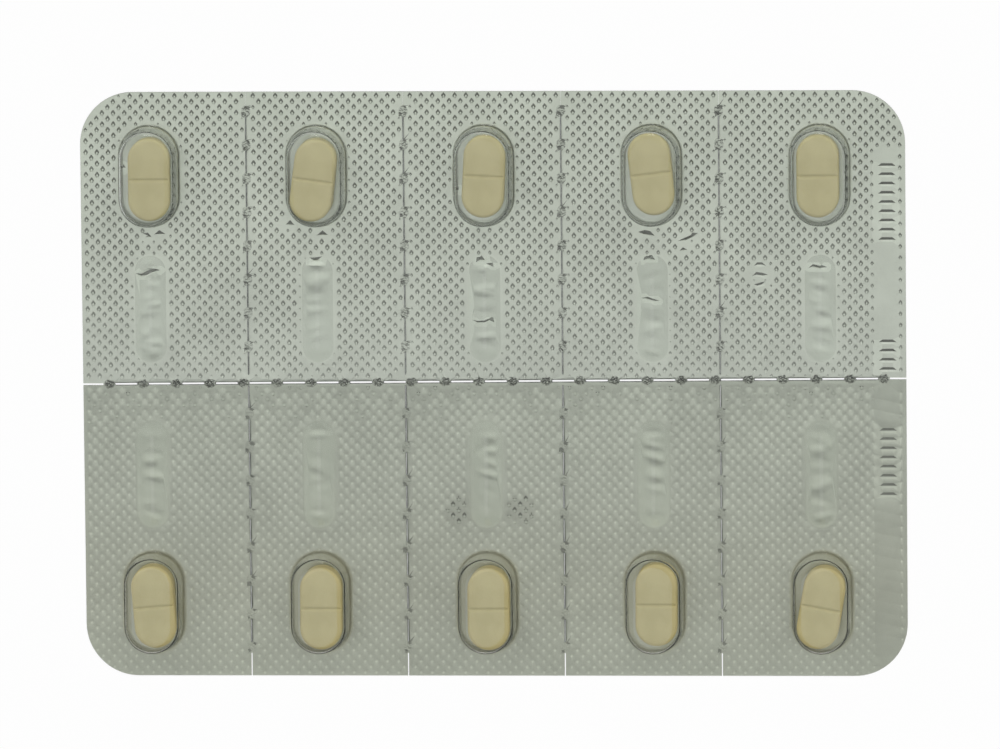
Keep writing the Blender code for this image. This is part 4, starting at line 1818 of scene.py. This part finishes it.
@dataclass(frozen=True)
class FloorFinish:
    """A pale matt floor that shows as white and keeps a soft shadow."""

    colour: tuple = (0.86, 0.86, 0.86)
    dark_share: float = 0.98
    cloud_scale: float = 6.0
    shown_share: float = 0.96

    def build(self, effects: Effects) -> bpy.types.Material:
        """Makes the material.

        Args:
            effects: The shared node groups.

        Returns:
            The material.
        """
        made, nodes = new_material("pale_floor")
        cloud = effects.place(nodes, effects.mottle, self.cloud_scale)
        dark = (*(self.dark_share * part for part in self.colour), 1)
        tone = nodes.make("Mix", {"Factor": cloud, "A": dark, "B": (*self.colour, 1)}, data_type="RGBA")
        matt = nodes.make("BsdfDiffuse", {"Color": tone})
        path = nodes.add("LightPath").outputs
        seen = nodes.make("Math", {0: path["Is Camera Ray"], 1: path["Is Glossy Ray"]}, operation="MAXIMUM")
        seen = nodes.make("Math", {0: seen, 1: path["Is Transmission Ray"]}, operation="MAXIMUM")
        share = nodes.make("Math", {0: seen, 1: self.shown_share}, operation="MULTIPLY")
        nodes.end(nodes.make("MixShader", {0: share, 1: matt, 2: nodes.make("Emission", {})}))
        return made


@dataclass(frozen=True)
class Studio:
    """The floor, the soft light and the camera."""

    floor_reach: float = 4.0
    floor_level: float = -0.00002
    sky: tuple = ((0.0, 0.35), (0.2, 0.4), (0.42, 0.85), (0.62, 1.15), (0.8, 1.05), (1.0, 0.7))
    rise: tuple = ((0.0, 0.6), (0.2, 0.65), (0.6, 1.0))
    lamp_place: tuple = (0.05, 1.5, 0.35)
    lamp_size: tuple = (0.6, 0.3)
    lamp_power: float = 2.4
    target: tuple = (0.000686, 0.00108, 0.0)
    towards: tuple = (0.0725, 0.1219, 1.0)
    distance: float = 1.37
    roll_degrees: float = -0.546
    pixels_per_metre: float = 8816.0
    picture_width: float = 1000.0
    sensor_width: float = 36.0
    clip: tuple[float, float] = (0.01, 20.0)

    def build_floor(self, finish: bpy.types.Material) -> None:
        """Lays the floor.

        Args:
            finish: Its material.
        """
        ways = ((-1, -1), (1, -1), (1, 1), (-1, 1))
        corners = [(self.floor_reach * x, self.floor_reach * y, self.floor_level) for x, y in ways]
        mesh = bpy.data.meshes.new("pale_floor")
        mesh.from_pydata(corners, [], [(0, 1, 2, 3)])
        mesh.materials.append(finish)
        floor = bpy.data.objects.new("pale_floor", mesh)
        bpy.context.scene.collection.objects.link(floor)

    def build_light(self) -> None:
        """Sets up the sky, brighter towards the top of the picture, and one soft lamp there."""
        world = bpy.data.worlds.new("soft_studio")
        bpy.context.scene.world = world
        world.use_nodes = True
        nodes = Nodes(world.node_tree)
        parts = nodes.add("SeparateXYZ")
        nodes.join(nodes.add("TexCoord").outputs["Generated"], parts.inputs[0])
        share = nodes.make("MapRange", {"Value": parts.outputs["Y"], "From Min": -1.0})
        strength = nodes.ramp(parts.outputs["Z"], self.rise)
        sky = nodes.make("Background", {"Color": nodes.ramp(share, self.sky), "Strength": strength})
        white = nodes.make("Background", {"Color": (1, 1, 1, 1)})
        path = nodes.add("LightPath").outputs
        nodes.end(nodes.make("MixShader", {0: path["Is Camera Ray"], 1: sky, 2: white}), "OutputWorld")
        lamp = bpy.data.lights.new("soft_lamp", "AREA")
        lamp.shape = "RECTANGLE"
        lamp.size, lamp.size_y = self.lamp_size
        lamp.energy = self.lamp_power
        holder = bpy.data.objects.new("soft_lamp", lamp)
        bpy.context.scene.collection.objects.link(holder)
        holder.location = self.lamp_place
        holder.rotation_euler = Vector(self.lamp_place).to_track_quat("Z", "Y").to_euler()

    def build_camera(self) -> None:
        """Places the camera where the photo's was."""
        to = Vector(self.towards).normalized()
        right = Vector((0, 1, 0)).cross(to).normalized()
        up = to.cross(right)
        roll = math.radians(self.roll_degrees)
        turned = math.cos(roll) * right + math.sin(roll) * up
        upright = math.cos(roll) * up - math.sin(roll) * right
        data = bpy.data.cameras.new("camera")
        data.sensor_fit = "HORIZONTAL"
        data.sensor_width = self.sensor_width
        data.lens = self.pixels_per_metre * self.distance / self.picture_width * self.sensor_width
        data.clip_start, data.clip_end = self.clip
        camera = bpy.data.objects.new("camera", data)
        bpy.context.scene.collection.objects.link(camera)
        pose = Matrix((turned, upright, to)).transposed().to_4x4()
        pose.translation = Vector(self.target) + self.distance * to
        camera.matrix_world = pose
        bpy.context.scene.camera = camera


def main() -> None:
    """Builds the pack and the studio round it."""
    logging.basicConfig(level=logging.INFO, format="%(name)s: %(message)s")
    bpy.context.scene.view_settings.view_transform = "Standard"
    low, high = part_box("lidding_foil")
    layout = Layout((high.x - low.x) / MM, (high.y - low.y) / MM)
    levels = Levels()
    pocket = Form(
        length=12.1,
        width=7.4,
        top=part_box("forming_film")[1].z / MM,
        foot_radius=0.35,
        crown_radius=0.9,
        draft_degrees=4.5,
        end_steps=22,
    )
    bead = Form(
        length=12.5,
        width=3.8,
        top=levels.bead_top,
        foot_radius=0.9,
        crown_radius=1.2,
        draft_degrees=60.0,
        end_steps=18,
        foot_steps=7,
    )
    effects = Effects(mottle_effect(), grain_effect())
    studio = Studio()
    studio.build_floor(FloorFinish().build(effects))
    studio.build_light()
    studio.build_camera()
    # Lit and shaded copies of the foil: their gains paint light and shade by the way each triangle faces.
    foils = {
        FoilPart.LAND: FoilFinish(),
        FoilPart.BRIGHT_PIT: FoilFinish("bright_pit", gains=(1.2, 1.05)),
        FoilPart.SHADED_FOLD: FoilFinish("shaded_fold", gains=(1.15, 0.42)),
        FoilPart.CRUMPLED: FoilFinish("soft_painted_shade_foil", gains=(0.92, 0.8)),
        FoilPart.DARK_CRUMPLE: FoilFinish("dark_crumple", gains=(0.5, 0.3)),
        FoilPart.LOOSE: FoilFinish("bead_light_and_shade_foil", gains=(1.22, 0.66)),
    }
    LiddingFoil(layout, levels, pocket, bead).build([foils[part].build(effects) for part in FoilPart])
    films = {
        FilmPart.FLAT: FilmFinish(),
        FilmPart.CRUSHED_EDGE: CutEdgeFinish(),
        FilmPart.CROWN: FilmFinish("crown_film", ior=1.38),
        FilmPart.FOOT: FilmFinish("foot_film", ior=1.14, coat=0.4),
        FilmPart.LOW_POCKET: FilmFinish("low_pocket_film", (0.99, 0.98, 0.945), ior=1.12, coat=0.1),
    }
    FormingFilm(layout, levels, pocket, bead).build([films[part].build(effects) for part in FilmPart])
    TabletSet(Tablet()).build(TabletFinish().build(effects))


if __name__ == "__main__":
    main()
